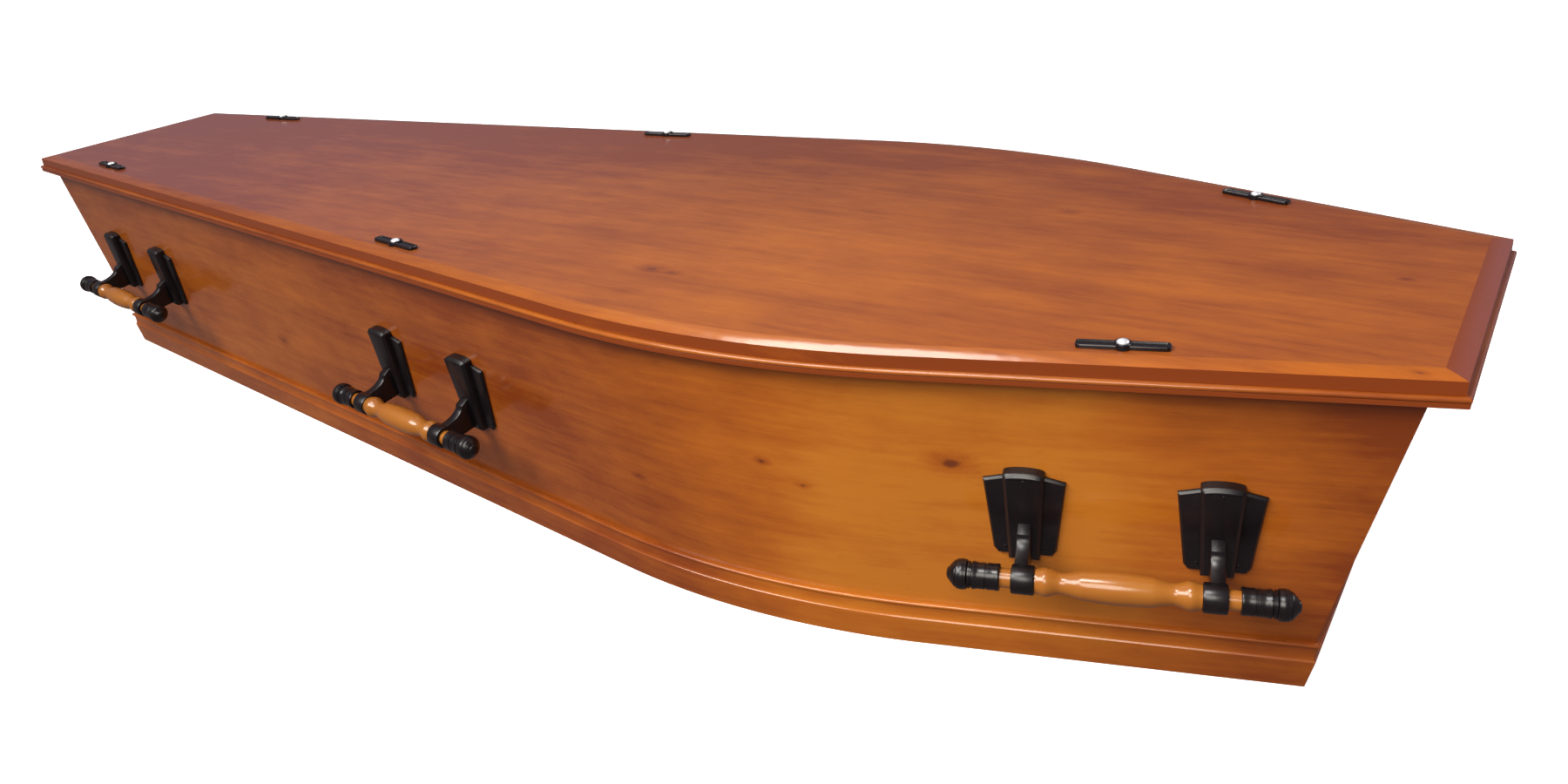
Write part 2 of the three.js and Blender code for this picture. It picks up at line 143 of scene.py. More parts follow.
class CoffinBox(bpy.types.PropertyGroup):
    """The leaning boards and the plinth moulding planted on them."""

    height: length_setting("Height", "Of the boards", top_of("side_board_near"))
    thickness: length_setting("Board thickness", "Of the side and end boards", 0.018)
    side_overhang: length_setting("Side overhang", "From a side board out to the lid's bead", 0.018)
    foot_overhang: length_setting("Foot overhang", "From the foot board out to the lid's bead", 0.011)
    head_overhang: length_setting("Head overhang", "From the head board out to the lid's bead", 0.026)
    side_lean: length_setting("Side lean", "From a side board's top edge in to the floor", 0.0365)
    foot_lean: length_setting("Foot lean", "From the foot board's top edge in to the floor", 0.084)
    head_lean: length_setting("Head lean", "From the head board's top edge in to the floor", 0.0715)
    plinth_height: length_setting("Plinth height", "Of the moulding", top_of("plinth_near"))
    band_height: length_setting("Plinth band", "Height of the plain band", 0.029)
    band_proud: length_setting("Band thickness", "How far the plain band stands off the board", 0.0065)
    bead_proud: length_setting("Bead thickness", "How far the bead stands off the board", 0.0054)
    bead_radius: length_setting("Plinth bead radius", "Of the bead on the plinth's top", 0.0019)
    hollow_proud: length_setting("Hollow thickness", "Where the hollow is deepest", 0.0033)


class CoffinLid(bpy.types.PropertyGroup):
    """The bead moulding on the boards and the panel on top of it."""

    bead_radius: length_setting("Bead radius", "Of the moulding's nose", 0.0022)
    listel_setback: length_setting("Listel setback", "Of the plain edge under the bead", 0.0009)
    moulding_seat: length_setting("Moulding seat", "How far it runs in over the boards", 0.016)
    panel_setback: length_setting("Panel setback", "Of its edge from the bead's nose", 0.004)
    bevel_rise: length_setting("Bevel rise", "Height of the panel's bevel", 0.0028)
    bevel_run: length_setting("Bevel run", "How far in the bevel reaches", 0.0165)
    bevel_crown: length_setting("Bevel crown", "How far the bevel bulges", 0.00035)


class CoffinHandle(bpy.types.PropertyGroup):
    """A drop-bar handle, measured from the middle of its bar."""

    spacing: length_setting("Bracket spacing", "Between the two brackets", 0.1548)
    standoff: length_setting("Standoff", "From the board's face to the bar's axis", 0.052)
    base_drop: length_setting("Base drop", "From the bar's axis down to the bracket's lower edge", 0.015)
    wing_height: length_setting("Wing height", "Of the bracket's thin wings", 0.0785)
    wing_thickness: length_setting("Wing thickness", "Of the bracket's thin wings", 0.0038)
    wing_chamfer: length_setting("Wing chamfer", "Round the wings' front", 0.0018)
    rib_height: length_setting("Rib height", "Of the bracket's middle rib, below its crest", 0.0875)
    rib_thickness: length_setting("Rib thickness", "Of the bracket's middle rib", 0.012)
    rib_chamfer: length_setting("Rib chamfer", "Round the rib's front", 0.003)
    arm_width: length_setting("Arm width", "Of the arm that carries the sleeve", 0.0115)
    arm_shift: length_setting("Arm shift", "From the plate's middle towards the bar's", 0.0011)
    arm_top: length_setting("Arm top", "From the bracket's lower edge to where the arm leaves the rib", 0.041)
    shelf_reach: length_setting("Shelf reach", "From the board's face to the arm's shelf edge", 0.0215)
    shelf_fall: length_setting("Shelf fall", "From the rib down to that edge", 0.0045)
    hollow_depth: length_setting("Hollow depth", "From the shelf's edge down to the sleeve", 0.011)
    hollow_end: length_setting("Hollow end", "From there to the bar's axis, across the bar", 0.006)
    sleeve_radius: length_setting("Sleeve radius", "Of the ring round the bar", 0.0122)
    sleeve_length: length_setting("Sleeve length", "Of the ring round the bar", 0.019)
    sleeve_shift: length_setting("Sleeve shift", "From the plate's middle towards the bar's", 0.0032)
    belly_radius: length_setting("Belly radius", "Of the turned bar at its middle", 0.0134)
    bare_ring: length_setting("Bare ring", "Between a sleeve and an end cap", 0.0089)
    cap_radius: length_setting("Cap radius", "Of an end cap's collar", 0.0129)
    screw_radius: length_setting("Screw radius", "Of the small heads in a bracket", 0.0021)
    screw_rise: length_setting("Screw rise", "Of those heads above the bracket", 0.0009)
    sides: count_setting("Sides", "Sides of the turned pieces", 48, least=12)


class CoffinFitting(bpy.types.PropertyGroup):
    """A lid fitting: a slim bar plate with a boss that holds a domed screw."""

    length: length_setting("Length", "Of the bar plate", 0.072)
    width: length_setting("Width", "Of the bar plate", 0.0115)
    thickness: length_setting("Thickness", "Of the bar plate", 0.0038)
    boss_height: length_setting("Boss height", "Above the lid", 0.0048)
    screw_radius: length_setting("Screw radius", "Of the domed head", 0.005)
    screw_rise: length_setting("Screw rise", "Of the dome above the boss", 0.0022)


class CoffinFinish(bpy.types.PropertyGroup):
    """Colours and gloss of the stained pine, the black castings and the screws."""

    honey: colour_setting("Honey stain", "Where the pine took little stain", (0.52, 0.172, 0.016))
    amber: colour_setting("Amber stain", "The pine's usual colour", (0.41, 0.108, 0.009))
    umber: colour_setting("Umber stain", "Where the pine took most stain", (0.21, 0.040, 0.005))
    knot: colour_setting("Knot", "The heart of a knot", (0.12, 0.026, 0.008))
    turned: colour_setting("Turned wood", "Washed over the handles' bars", (0.25, 0.112, 0.021))
    black: colour_setting("Black metal", "Of the castings", (0.0065, 0.0045, 0.0055))
    bright: colour_setting("Bright metal", "Of the fittings' screws", (0.88, 0.89, 0.92))
    varnish: share_setting("Varnish", "Weight of the varnish coat", 0.8)
    varnish_roughness: share_setting("Varnish roughness", "Of the varnish coat", 0.13)
    bar_roughness: share_setting("Bar roughness", "Of the varnish coat on the handles' bars", 0.16)
    bracket_roughness: share_setting("Bracket roughness", "Of the black on the brackets", 0.32)
    cap_roughness: share_setting("Cap roughness", "Of the black on the end caps", 0.29)
    fitting_roughness: share_setting("Fitting roughness", "Of the black on the lid fittings", 0.26)
    screw_roughness: share_setting("Screw roughness", "Of the black on the brackets' screws", 0.2)
    stave_width: length_setting("Stave width", "Of the strips the boards are glued up from", 0.118)
    stave_length: length_setting("Stave length", "Of those strips between their joints", 0.93)


class CoffinStage(bpy.types.PropertyGroup):
    """The floor, the sky, the lights and the camera."""

    floor_colour: colour_setting("Floor", "Of the pale floor", (0.94, 0.94, 0.94))
    floor_size: length_setting("Floor size", "Across the floor", 60)
    floor_glow: share_setting("Floor glow", "Light that the floor gives off by itself", 0.7)
    sky_colour: colour_setting("Sky", "Of the soft light from above", (0.13, 0.12, 0.14))
    dusk_colour: colour_setting("Dusk", "Of the mauve light low behind the foot", (0.26, 0.215, 0.29))
    dusk_towards: vector_setting("Dusk direction", "Towards its middle", (-0.89, 0.42, 0.18), "DIRECTION")
    mauve_colour: colour_setting("Mauve", "Of the soft light overhead", (0.52, 0.44, 0.56))
    mauve_towards: vector_setting("Mauve direction", "Towards its middle", (-0.28, 0.05, 0.96), "DIRECTION")
    cool_colour: colour_setting("Cool", "Of the bluish light behind the head end", (0.25, 0.27, 0.42))
    cool_towards: vector_setting("Cool direction", "Towards its middle", (0.26, 0.92, 0.30), "DIRECTION")
    ground_colour: colour_setting("Ground", "Of the light from below", (0.19, 0.15, 0.15))
    sheen_strength: strength_setting("Sheen strength", "Of the light that only shows in the varnish", 0.75)
    sheen_width: angle_setting("Sheen width", "How wide that light looks", 16)
    sheen_towards: vector_setting("Sheen direction", "Towards that light", (-0.405, 0.52, 0.75), "DIRECTION")
    gleam_strength: strength_setting("Gleam strength", "Of the light that only shows as highlights", 2.0)
    gleam_width: angle_setting("Gleam width", "How wide that light looks", 18)
    gleam_towards: vector_setting("Gleam direction", "Towards that light", (-0.15, -0.30, 0.94), "DIRECTION")
    key_strength: strength_setting("Key strength", "Of the broad light high up on the near side", 3.1)
    key_towards: vector_setting("Key direction", "Towards that light", (-0.38, -0.60, 0.70), "DIRECTION")
    back_strength: strength_setting("Back strength", "Of the weak broad light on the far side", 1.2)
    back_towards: vector_setting("Back direction", "Towards that light", (0.58, 0.60, 0.55), "DIRECTION")
    light_width: angle_setting("Light width", "How wide the key and back lights look", 28)
    light_colour: colour_setting("Light colour", "Of the sheen, gleam, key and back lights", (1.0, 0.97, 0.93))
    window_power: strength_setting("Window power", "Of the light on the head side", 34, unit="POWER")
    window_colour: colour_setting("Window colour", "Of that light", (1.0, 0.95, 0.86))
    window_size: length_setting("Window size", "Across that light", 1.1)
    window_place: vector_setting("Window place", "Where that light hangs", (1.0, -1.9, 1.5), "TRANSLATION")
    window_target: vector_setting("Window target", "Where it points", (0.65, -0.25, 0.14), "TRANSLATION")
    camera_place: vector_setting(
        "Camera place", "Where the camera stands", (1.0387, -1.0667, 0.7204), "TRANSLATION"
    )


class CoffinSettings(bpy.types.PropertyGroup):
    """Every size, colour and light of the coffin."""

    plan: PointerProperty(type=CoffinPlan)
    box: PointerProperty(type=CoffinBox)
    lid: PointerProperty(type=CoffinLid)
    handle: PointerProperty(type=CoffinHandle)
    fitting: PointerProperty(type=CoffinFitting)
    finish: PointerProperty(type=CoffinFinish)
    stage: PointerProperty(type=CoffinStage)


# Node trees


class Nodes:
    """Adds nodes to a tree, each with its settings and what feeds its inputs."""

    def __init__(self, tree):
        self.tree = tree

    def fill(self, node, feeds):
        """Links or sets a node's inputs, each known by its name or number."""
        for key, value in feeds.items():
            if isinstance(value, bpy.types.NodeSocket):
                self.tree.links.new(value, node.inputs[key])
            else:
                node.inputs[key].default_value = value
        return node

    def add(self, kind, feeds=None, **settings):
        node = self.tree.nodes.new(kind)
        for key, value in settings.items():
            setattr(node, key, value)
        return self.fill(node, feeds or {})

    def math(self, operation, *values):
        return self.add("ShaderNodeMath", dict(enumerate(values)), operation=operation).outputs[0]

    def total(self, first, *others):
        for value in others:
            first = self.math("ADD", first, value)
        return first

    def vector(self, operation, *values):
        node = self.add("ShaderNodeVectorMath", dict(enumerate(values)), operation=operation)
        return node.outputs["Value" if operation == "DOT_PRODUCT" else "Vector"]

    def scaled(self, vector, factor):
        feeds = {"Vector": vector, "Scale": factor}
        return self.add("ShaderNodeVectorMath", feeds, operation="SCALE").outputs["Vector"]

    def parts(self, vector):
        return self.add("ShaderNodeSeparateXYZ", {"Vector": vector}).outputs

    def joined(self, x=0.0, y=0.0, z=0.0):
        return self.add("ShaderNodeCombineXYZ", {"X": x, "Y": y, "Z": z}).outputs[0]

    def ranged(self, value, low, high, to_low=0.0, to_high=1.0, smooth=False):
        feeds = {"Value": value, "From Min": low, "From Max": high, "To Min": to_low, "To Max": to_high}
        kind = "SMOOTHSTEP" if smooth else "LINEAR"
        return self.add("ShaderNodeMapRange", feeds, interpolation_type=kind).outputs[0]

    def noise(self, vector, scale, detail, roughness=0.5):
        feeds = {"Vector": vector, "Scale": scale, "Detail": detail, "Roughness": roughness}
        return self.add("ShaderNodeTexNoise", feeds).outputs[0]

    def blend(self, factor, first, second):
        feeds = {0: factor, 6: first, 7: second}
        return self.add("ShaderNodeMix", feeds, data_type="RGBA").outputs[2]

    def relief(self, height, strength, distance):
        feeds = {"Height": height, "Strength": strength, "Distance": distance}
        return self.add("ShaderNodeBump", feeds).outputs["Normal"]

    def named(self, name, kind="FLOAT_VECTOR"):
        feeds = {"Name": name}
        return self.add("GeometryNodeInputNamedAttribute", feeds, data_type=kind).outputs["Attribute"]


# Materials

Knot = namedtuple("Knot", "along across radius strength")
# Painted light and shade along a board: where it is, and how much darker the colour is painted there (lighter
# below zero)
LightTone = namedtuple("LightTone", "along shade")

# The noises that vary the stain, each with its stretch along and across the grain, how far from
# the middle it is read, how much it moves the stain, and whether its lines part round the knots
Layer = namedtuple("Layer", "stretch detail roughness spread swing parts")
GRAIN = {
    "figure": Layer((2.2, 30.0, 1.0), 3.0, 0.6, 0.2, 0.09, True),
    "streaks": Layer((8.0, 150.0, 1.0), 3.0, 0.6, 0.2, 0.08, True),
    "broad": Layer((5.0, 9.0, 1.0), 3.0, 0.6, 0.2, 0.12, False),
    "clouds": Layer((16.0, 38.0, 1.0), 4.0, 0.65, 0.2, 0.10, False),
    "fibres": Layer((22.0, 900.0, 1.0), 2.0, 0.6, 0.25, 0.04, False),
}

# How far apart the boards' own pieces of the grain lie, and how deep the stain usually is
GRAIN_STEP = 3.17
USUAL_STAIN = 0.42


def new_material(name):
    material = bpy.data.materials.new(name)
    material.use_nodes = True
    return material, Nodes(material.node_tree), material.node_tree.nodes["Principled BSDF"]


def opaque(colour):
    return (*colour, 1.0)


def knot_marks(nodes, along, across, knots):
    """How dark the knots make a place on the board: by their hearts, and by wider reddish halos."""
    length_share, core_share = 0.55, 0.35
    halo_reach, halo_strength = 3.6, 0.5
    heart, halo = 0.0, 0.0
    for knot in knots:
        wobble = nodes.ranged(nodes.noise(nodes.joined(along, across), 90.0, 2.0), 0.0, 1.0, 0.6, 1.4)
        du = nodes.math("MULTIPLY", nodes.math("SUBTRACT", along, knot.along), length_share)
        dv = nodes.math("SUBTRACT", across, knot.across)
        squares = nodes.total(nodes.math("MULTIPLY", du, du), nodes.math("MULTIPLY", dv, dv))
        distance = nodes.math("MULTIPLY", nodes.math("SQRT", squares), wobble)
        core, reach = knot.radius * core_share, knot.radius * halo_reach
        dark = nodes.ranged(distance, core, knot.radius, knot.strength, 0.0, smooth=True)
        stained = nodes.ranged(distance, 0.0, reach, knot.strength * halo_strength, 0.0, smooth=True)
        heart = nodes.math("MAXIMUM", dark, heart)
        halo = nodes.math("MAXIMUM", stained, halo)
    return heart, halo


def stave_marks(nodes, along, across, seed, finish):
    """The strips that a board is glued up from: each one's tone and its own piece of the grain."""
    tone, spread = 0.055, 7.0
    row = nodes.math("FLOOR", nodes.math("DIVIDE", nodes.total(across, seed), finish.stave_width))
    row_noise = nodes.add("ShaderNodeTexWhiteNoise", {"W": row}, noise_dimensions="1D").outputs["Value"]
    column = nodes.math("FLOOR", nodes.total(nodes.math("DIVIDE", along, finish.stave_length), row_noise))
    spot = nodes.joined(row, column, seed)
    cell = nodes.add("ShaderNodeTexWhiteNoise", {"Vector": spot}, noise_dimensions="3D").outputs
    return nodes.ranged(cell["Value"], 0.0, 1.0, -tone, tone), nodes.scaled(cell["Color"], spread)


def parted_grain(nodes, place, halo):
    """Lets the grain's lines wander, and pushes them apart round the knots."""
    stretch, wander_width, push = (1.7, 5.0, 1.0), 0.04, 0.02
    wander = nodes.noise(nodes.vector("MULTIPLY", place, stretch), 1.0, 3.0, 0.55)
    bend = nodes.math("MULTIPLY", nodes.math("SUBTRACT", wander, 0.5), wander_width)
    bend = nodes.total(bend, nodes.math("MULTIPLY", halo, push))
    return nodes.vector("ADD", place, nodes.joined(y=bend))


def light_and_shade_along(nodes, along, painted_light_tones):
    """Painted light and shade: how much darker or lighter the colour is painted from place to place along the
    board.
    """
    start, end = painted_light_tones[0].along, painted_light_tones[-1].along
    ramp = nodes.add("ShaderNodeValToRGB", {"Fac": nodes.ranged(along, start, end)})
    ramp.color_ramp.interpolation = "EASE"
    stops = ramp.color_ramp.elements
    while len(stops) < len(painted_light_tones):
        stops.new(0.5)
    for stop, tone in zip(stops, painted_light_tones):
        stop.position = (tone.along - start) / (end - start)
        stop.color = opaque((0.5 + tone.shade,) * 3)
    return nodes.math("SUBTRACT", ramp.outputs["Color"], 0.5)


def stain_colour(nodes, depth, finish):
    """From honey through amber to umber as the stain gets deeper."""
    ramp = nodes.add("ShaderNodeValToRGB", {"Fac": depth})
    stops = ramp.color_ramp.elements
    stops[0].position, stops[0].color = 0.1, opaque(finish.honey)
    stops[1].position, stops[1].color = 0.95, opaque(finish.umber)
    stops.new(0.45).color = opaque(finish.amber)
    return ramp.outputs["Color"]


def pine_material(
    name, finish, board, knots=(), painted_light_tones=(), rim=None, staves=False, shaded=False,
    own_uv=True, lighter=0.0, roughness=None, wash=None,
):
    """Stained pine under varnish. The grain runs along the first coordinate, in metres.

    Each board has its own number and so its own piece of the grain. The tones along the board are
    painted light and shade. rim says where across the grain the colour is painted darker, as painted
    shade: from, to and by how much. staves glues the board up from strips, shaded adds the painted
    shade and light that the mesh keeps per face, and a wash is a colour that half covers the stain.
    """
    material, nodes, shader = new_material(name)
    if own_uv:
        place = nodes.add("ShaderNodeUVMap", uv_map="grain").outputs["UV"]
    else:
        place = nodes.add("ShaderNodeTexCoord").outputs["Object"]
    spot = nodes.parts(place)
    along, across = spot["X"], spot["Y"]
    flat = nodes.joined(along, across)
    heart, halo = knot_marks(nodes, along, across, knots)

    seed = board * GRAIN_STEP
    shift = (seed, seed, seed)
    shades = [USUAL_STAIN - lighter]
    if staves:
        stave_shade, shift = stave_marks(nodes, along, across, seed, finish)
        shades.append(stave_shade)
    shifted = nodes.vector("ADD", flat, shift)
    parted = parted_grain(nodes, shifted, halo)
    noises = {}
    for key, layer in GRAIN.items():
        stretched = nodes.vector("MULTIPLY", parted if layer.parts else shifted, layer.stretch)
        noises[key] = nodes.noise(stretched, 1.0, layer.detail, layer.roughness)
        low, high = 0.5 - layer.spread, 0.5 + layer.spread
        shades.append(nodes.ranged(noises[key], low, high, -layer.swing, layer.swing))
    fleck_stretch, fleck_shade = (60.0, 420.0, 1.0), 0.16
    flecks = nodes.noise(nodes.vector("MULTIPLY", shifted, fleck_stretch), 1.0, 1.0)
    shades.append(nodes.ranged(flecks, 0.70, 0.80, 0.0, fleck_shade))
    if knots:
        shades.append(halo)
    # Painted light and shade along the board
    if painted_light_tones:
        shades.append(light_and_shade_along(nodes, along, painted_light_tones))
    # Painted shade across the grain, from rim's start to its end
    if rim:
        start, end, amount = rim
        shades.append(nodes.ranged(across, start, end, 0.0, amount, smooth=True))
    # Painted shade and light that the mesh keeps in its shade attribute
    if shaded:
        own_shade = nodes.add("ShaderNodeAttribute", attribute_type="GEOMETRY", attribute_name="shade")
        shades.append(own_shade.outputs["Fac"])

    colour = stain_colour(nodes, nodes.total(*shades), finish)
    if knots:
        colour = nodes.blend(heart, colour, opaque(finish.knot))
    if wash:
        colour = nodes.blend(0.5, colour, opaque(wash))
    pores = nodes.total(noises["streaks"], nodes.math("MULTIPLY", noises["fibres"], 0.6))
    nodes.fill(shader, {
        "Base Color": colour,
        "Roughness": nodes.ranged(noises["clouds"], 0.3, 0.7, 0.36, 0.50),
        "Specular IOR Level": 0.12,
        "Coat Weight": finish.varnish,
        "Coat Roughness": finish.varnish_roughness if roughness is None else roughness,
        "Coat IOR": 1.48,
        "Normal": nodes.relief(pores, 0.10, 0.0006),
        "Coat Normal": nodes.relief(nodes.noise(flat, 46.0, 2.0), 0.05, 0.004),
    })
    return material


def black_material(name, finish, roughness):
    """Satin black on cast metal, a little uneven, with worn high spots."""
    material, nodes, shader = new_material(name)
    place = nodes.add("ShaderNodeTexCoord").outputs["Object"]
    wear = nodes.noise(place, 65.0, 4.0, 0.6)
    worn = nodes.ranged(wear, 0.55, 0.85, 0.0, 0.5)
    grey = tuple(min(1.0, channel * 2.6 + 0.004) for channel in finish.black)
    nodes.fill(shader, {
        "Base Color": nodes.blend(worn, opaque(finish.black), opaque(grey)),
        "Roughness": nodes.ranged(wear, 0.3, 0.7, roughness - 0.04, roughness + 0.06),
        "Specular IOR Level": 0.34,
        "Coat Weight": 0.08,
        "Coat Roughness": 0.22,
        "Normal": nodes.relief(nodes.noise(place, 420.0, 3.0, 0.6), 0.05, 0.0004),
    })
    return material


def bright_material(name, finish):
    """Nickel-plated screw heads with fine turning marks."""
    material, nodes, shader = new_material(name)
    place = nodes.add("ShaderNodeTexCoord").outputs["Object"]
    haze = nodes.noise(place, 900.0, 2.0)
    dull = tuple(channel * 0.8 for channel in finish.bright)
    nodes.fill(shader, {
        "Base Color": nodes.blend(haze, opaque(finish.bright), opaque(dull)),
        "Roughness": nodes.ranged(haze, 0.3, 0.7, 0.32, 0.42),
        "Metallic": 0.55,
    })
    return material


# Pieces


def new_object(name, data):
    thing = bpy.data.objects.new(name, data)
    bpy.context.scene.collection.objects.link(thing)
    return thing


def smooth_shaded(mesh, sharp_angle=SHARP_ANGLE):
    mesh.shade_smooth()
    mesh.set_sharp_from_angle(angle=sharp_angle)
    return mesh


def finished(piece, material, nodes):
    """Gives a piece its material, ties it to the frame and has it stand for its nodes."""
    if material is not None:
        piece.data.materials.clear()
        piece.data.materials.append(material)
    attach(piece, "root")
    if nodes:
        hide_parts(*nodes)


def mesh_of(shape, name, sharp_angle=SHARP_ANGLE):
    """Closes a bmesh into a mesh whose faces point outwards."""
    bmesh.ops.recalc_face_normals(shape, faces=shape.faces)
    mesh = bpy.data.meshes.new(name)
    shape.to_mesh(mesh)
    shape.free()
    return smooth_shaded(mesh, sharp_angle)


def put(shape, matrix, maker, node, material):
    """Moves a bmesh to its place and makes it the piece that stands for a node."""
    bmesh.ops.transform(shape, matrix=matrix, verts=shape.verts)
    name = f"{maker}_{node}"
    finished(new_object(name, mesh_of(shape, name)), material, [node])


def inset_loop(points, distance):
    """A convex loop of (x, y) points, anticlockwise, moved in by a distance."""
    moved = []
    for index, here in enumerate(points):
        before = Vector(points[index - 1])
        after = Vector(points[(index + 1) % len(points)])
        here = Vector(here)
        first = (here - before).normalized()
        second = (after - here).normalized()
        normal_a = Vector((-first.y, first.x))
        normal_b = Vector((-second.y, second.x))
        corner = (normal_a + normal_b) / (1 + normal_a.dot(normal_b))
        moved.append(tuple(here + corner * distance))
    return moved


def add_stack(shape, loops):
    """Joins equal loops of 3-D points into a closed shell, with its first and last loop as caps."""
    rings = [[shape.verts.new(point) for point in loop] for loop in loops]
    count = len(rings[0])
    for low, high in zip(rings, rings[1:]):
        for index in range(count):
            following = (index + 1) % count
            shape.faces.new((low[index], low[following], high[following], high[index]))
    shape.faces.new(list(reversed(rings[0])))
    shape.faces.new(rings[-1])


def add_plate(shape, outline, thickness, chamfer, place):
    """A plate with a chamfered front. place turns (across, up, out) into a point."""
    soft = 0.0004
    shoulder = thickness - chamfer
    levels = (
        (0.0, 0.0),
        (0.0, shoulder - soft),
        (soft * 0.3, shoulder + soft * 0.2),
        (soft, shoulder + soft),
        (chamfer - soft, thickness - soft),
        (chamfer - soft * 0.2, thickness - soft * 0.3),
        (chamfer + soft, thickness),
    )
    loops = []
    for inset, out in levels:
        loops.append([place(across, up, out) for across, up in inset_loop(outline, inset)])
    add_stack(shape, loops)


def arc(centre, radii, start, end, steps):
    """Points of a round stretch, with its angles in degrees."""
    points = []
    for step in range(steps + 1):
        angle = math.radians(start + (end - start) * step / steps)
        points.append((centre[0] + radii[0] * math.cos(angle), centre[1] + radii[1] * math.sin(angle)))
    return points


def smooth_profile(points, steps):
    """A soft curve through (along, radius) points that keeps each stretch between its end values."""
    slopes = []
    for index in range(len(points)):
        if index in (0, len(points) - 1):
            slopes.append(0.0)
            continue
        before = (points[index][1] - points[index - 1][1]) / (points[index][0] - points[index - 1][0])
        after = (points[index + 1][1] - points[index][1]) / (points[index + 1][0] - points[index][0])
        slopes.append(0.0 if before * after <= 0 else 2 * before * after / (before + after))
    curve = []
    for index, (start, end) in enumerate(zip(points, points[1:])):
        span = end[0] - start[0]
        for step in range(steps):
            t = step / steps
            hermite = (
                (2 * t**3 - 3 * t**2 + 1) * start[1]
                + (t**3 - 2 * t**2 + t) * span * slopes[index]
                + (3 * t**2 - 2 * t**3) * end[1]
                + (t**3 - t**2) * span * slopes[index + 1]
            )
            curve.append((start[0] + span * t, hermite))
    curve.append(points[-1])
    return curve


def add_turned(shape, profile, sides, place, closed=False):
    """Turns (along, radius) pairs round the bar's axis. A closed profile makes a ring."""
    grain = shape.loops.layers.uv.get("grain") or shape.loops.layers.uv.new("grain")
    rings = []
    for along, radius in profile:
        if radius <= 0:
            rings.append([shape.verts.new(place(along, 0.0, 0.0))])
            continue
        ring = []
        for side in range(sides):
            angle = 2 * math.pi * side / sides
            ring.append(shape.verts.new(place(along, radius * math.cos(angle), radius * math.sin(angle))))
        rings.append(ring)
    pairs = list(zip(range(len(rings)), range(1, len(rings))))
    if closed:
        pairs.append((len(rings) - 1, 0))
    girth = max(radius for _, radius in profile) * 2 * math.pi
    for low, high in pairs:
        for side in range(sides):
            following = (side + 1) % sides
            corners = []
            for index, spot in ((low, side), (low, following), (high, following), (high, side)):
                ring = rings[index]
                vertex = ring[spot % len(ring)]
                turn = side + 1 if spot == following else side
                if all(vertex is not known for known, _ in corners):
                    corners.append((vertex, (profile[index][0], girth * turn / sides)))
            face = shape.faces.new([vertex for vertex, _ in corners])
            for loop, (_, uv) in zip(face.loops, corners):
                loop[grain].uv = uv


# The plan

# A point of the outline: where it is, how an inset of the side, the foot or the head by one
# metre moves it, which way the path runs there, and how far along it lies
PathPoint = namedtuple("PathPoint", "base side_in foot_in head_in run along")

# A point of a section: its insets from the outline on a side, at the foot and at the head, and
# its height
SectionPoint = namedtuple("SectionPoint", "side foot head height")


def mirrored(vector, sign):
    return Vector((vector.x, vector.y * sign, vector.z))


def straight_runs(plan):
    """The far side's corners on the lid's outline, and the directions of its straight runs."""
    foot = Vector((-plan.length / 2, plan.foot_width / 2, 0))
    shoulder = Vector((plan.length / 2 - plan.shoulder_from_head, plan.shoulder_width / 2, 0))
    head = Vector((plan.length / 2, plan.head_width / 2, 0))
    return foot, shoulder, head, (shoulder - foot).normalized(), (head - shoulder).normalized()


def corner_insets(run, end_sign):
    """How a side inset and an end inset move an outline corner on the far side."""
    normal = UP.cross(run)
    return Vector((0, -1 / normal.y, 0)), run / run.x * -end_sign


def side_path(plan, sign):
    """One side of the lid's outline from foot to head, with the shoulder's curve."""
    foot, shoulder, head, foot_run, head_run = straight_runs(plan)
    turn = foot_run.angle(head_run)
    reach = plan.shoulder_radius * math.tan(turn / 2)
    arc_start = shoulder - foot_run * reach
    centre = arc_start - UP.cross(foot_run) * plan.shoulder_radius
    clear_of_corner = 0.2
    gap = plan.mitre_gap / 2

    still = Vector()
    side_in, foot_in = corner_insets(foot_run, -1)
    stops = [(foot + foot_run * gap, side_in, foot_in, still, foot_run)]
    inward = -UP.cross(foot_run)
    stops.append((foot + foot_run * clear_of_corner, inward, still, still, foot_run))
    start = math.atan2(-inward.y, -inward.x)
    for step in range(plan.shoulder_steps + 1):
        angle = start - turn * step / plan.shoulder_steps
        outward = Vector((math.cos(angle), math.sin(angle), 0))
        stops.append((centre + outward * plan.shoulder_radius, -outward, still, still, outward.cross(UP)))
    inward = -UP.cross(head_run)
    stops.append((head - head_run * clear_of_corner, inward, still, still, head_run))
    side_in, head_in = corner_insets(head_run, 1)
    stops.append((head - head_run * gap, side_in, still, head_in, head_run))

    points, along = [], 0.0
    for index, stop in enumerate(stops):
        if index:
            along += (stop[0] - stops[index - 1][0]).length
        points.append(PathPoint(*(mirrored(vector, sign) for vector in stop), along))
    return points


def end_path(plan, end_sign):
    """One end of the lid's outline, from its near corner to its far corner."""
    foot, _, head, foot_run, head_run = straight_runs(plan)
    corner, run = (foot, foot_run) if end_sign < 0 else (head, head_run)
    side_in, end_in = corner_insets(run, end_sign)
    across = Vector((0, 1, 0))
    points = []
    for sign in (-1, 1):
        base = mirrored(corner, sign) - across * sign * plan.mitre_gap / 2
        moved = mirrored(end_in, sign)
        ends = (moved, Vector()) if end_sign < 0 else (Vector(), moved)
        points.append(PathPoint(base, mirrored(side_in, sign), *ends, across, base.y))
    return points


def store_numbers(mesh, name, numbers):
    mesh.attributes.new(name, "FLOAT", "POINT").data.foreach_set("value", numbers)


def store_vectors(mesh, name, vectors):
    parts = [part for vector in vectors for part in vector]
    mesh.attributes.new(name, "FLOAT_VECTOR", "POINT").data.foreach_set("vector", parts)


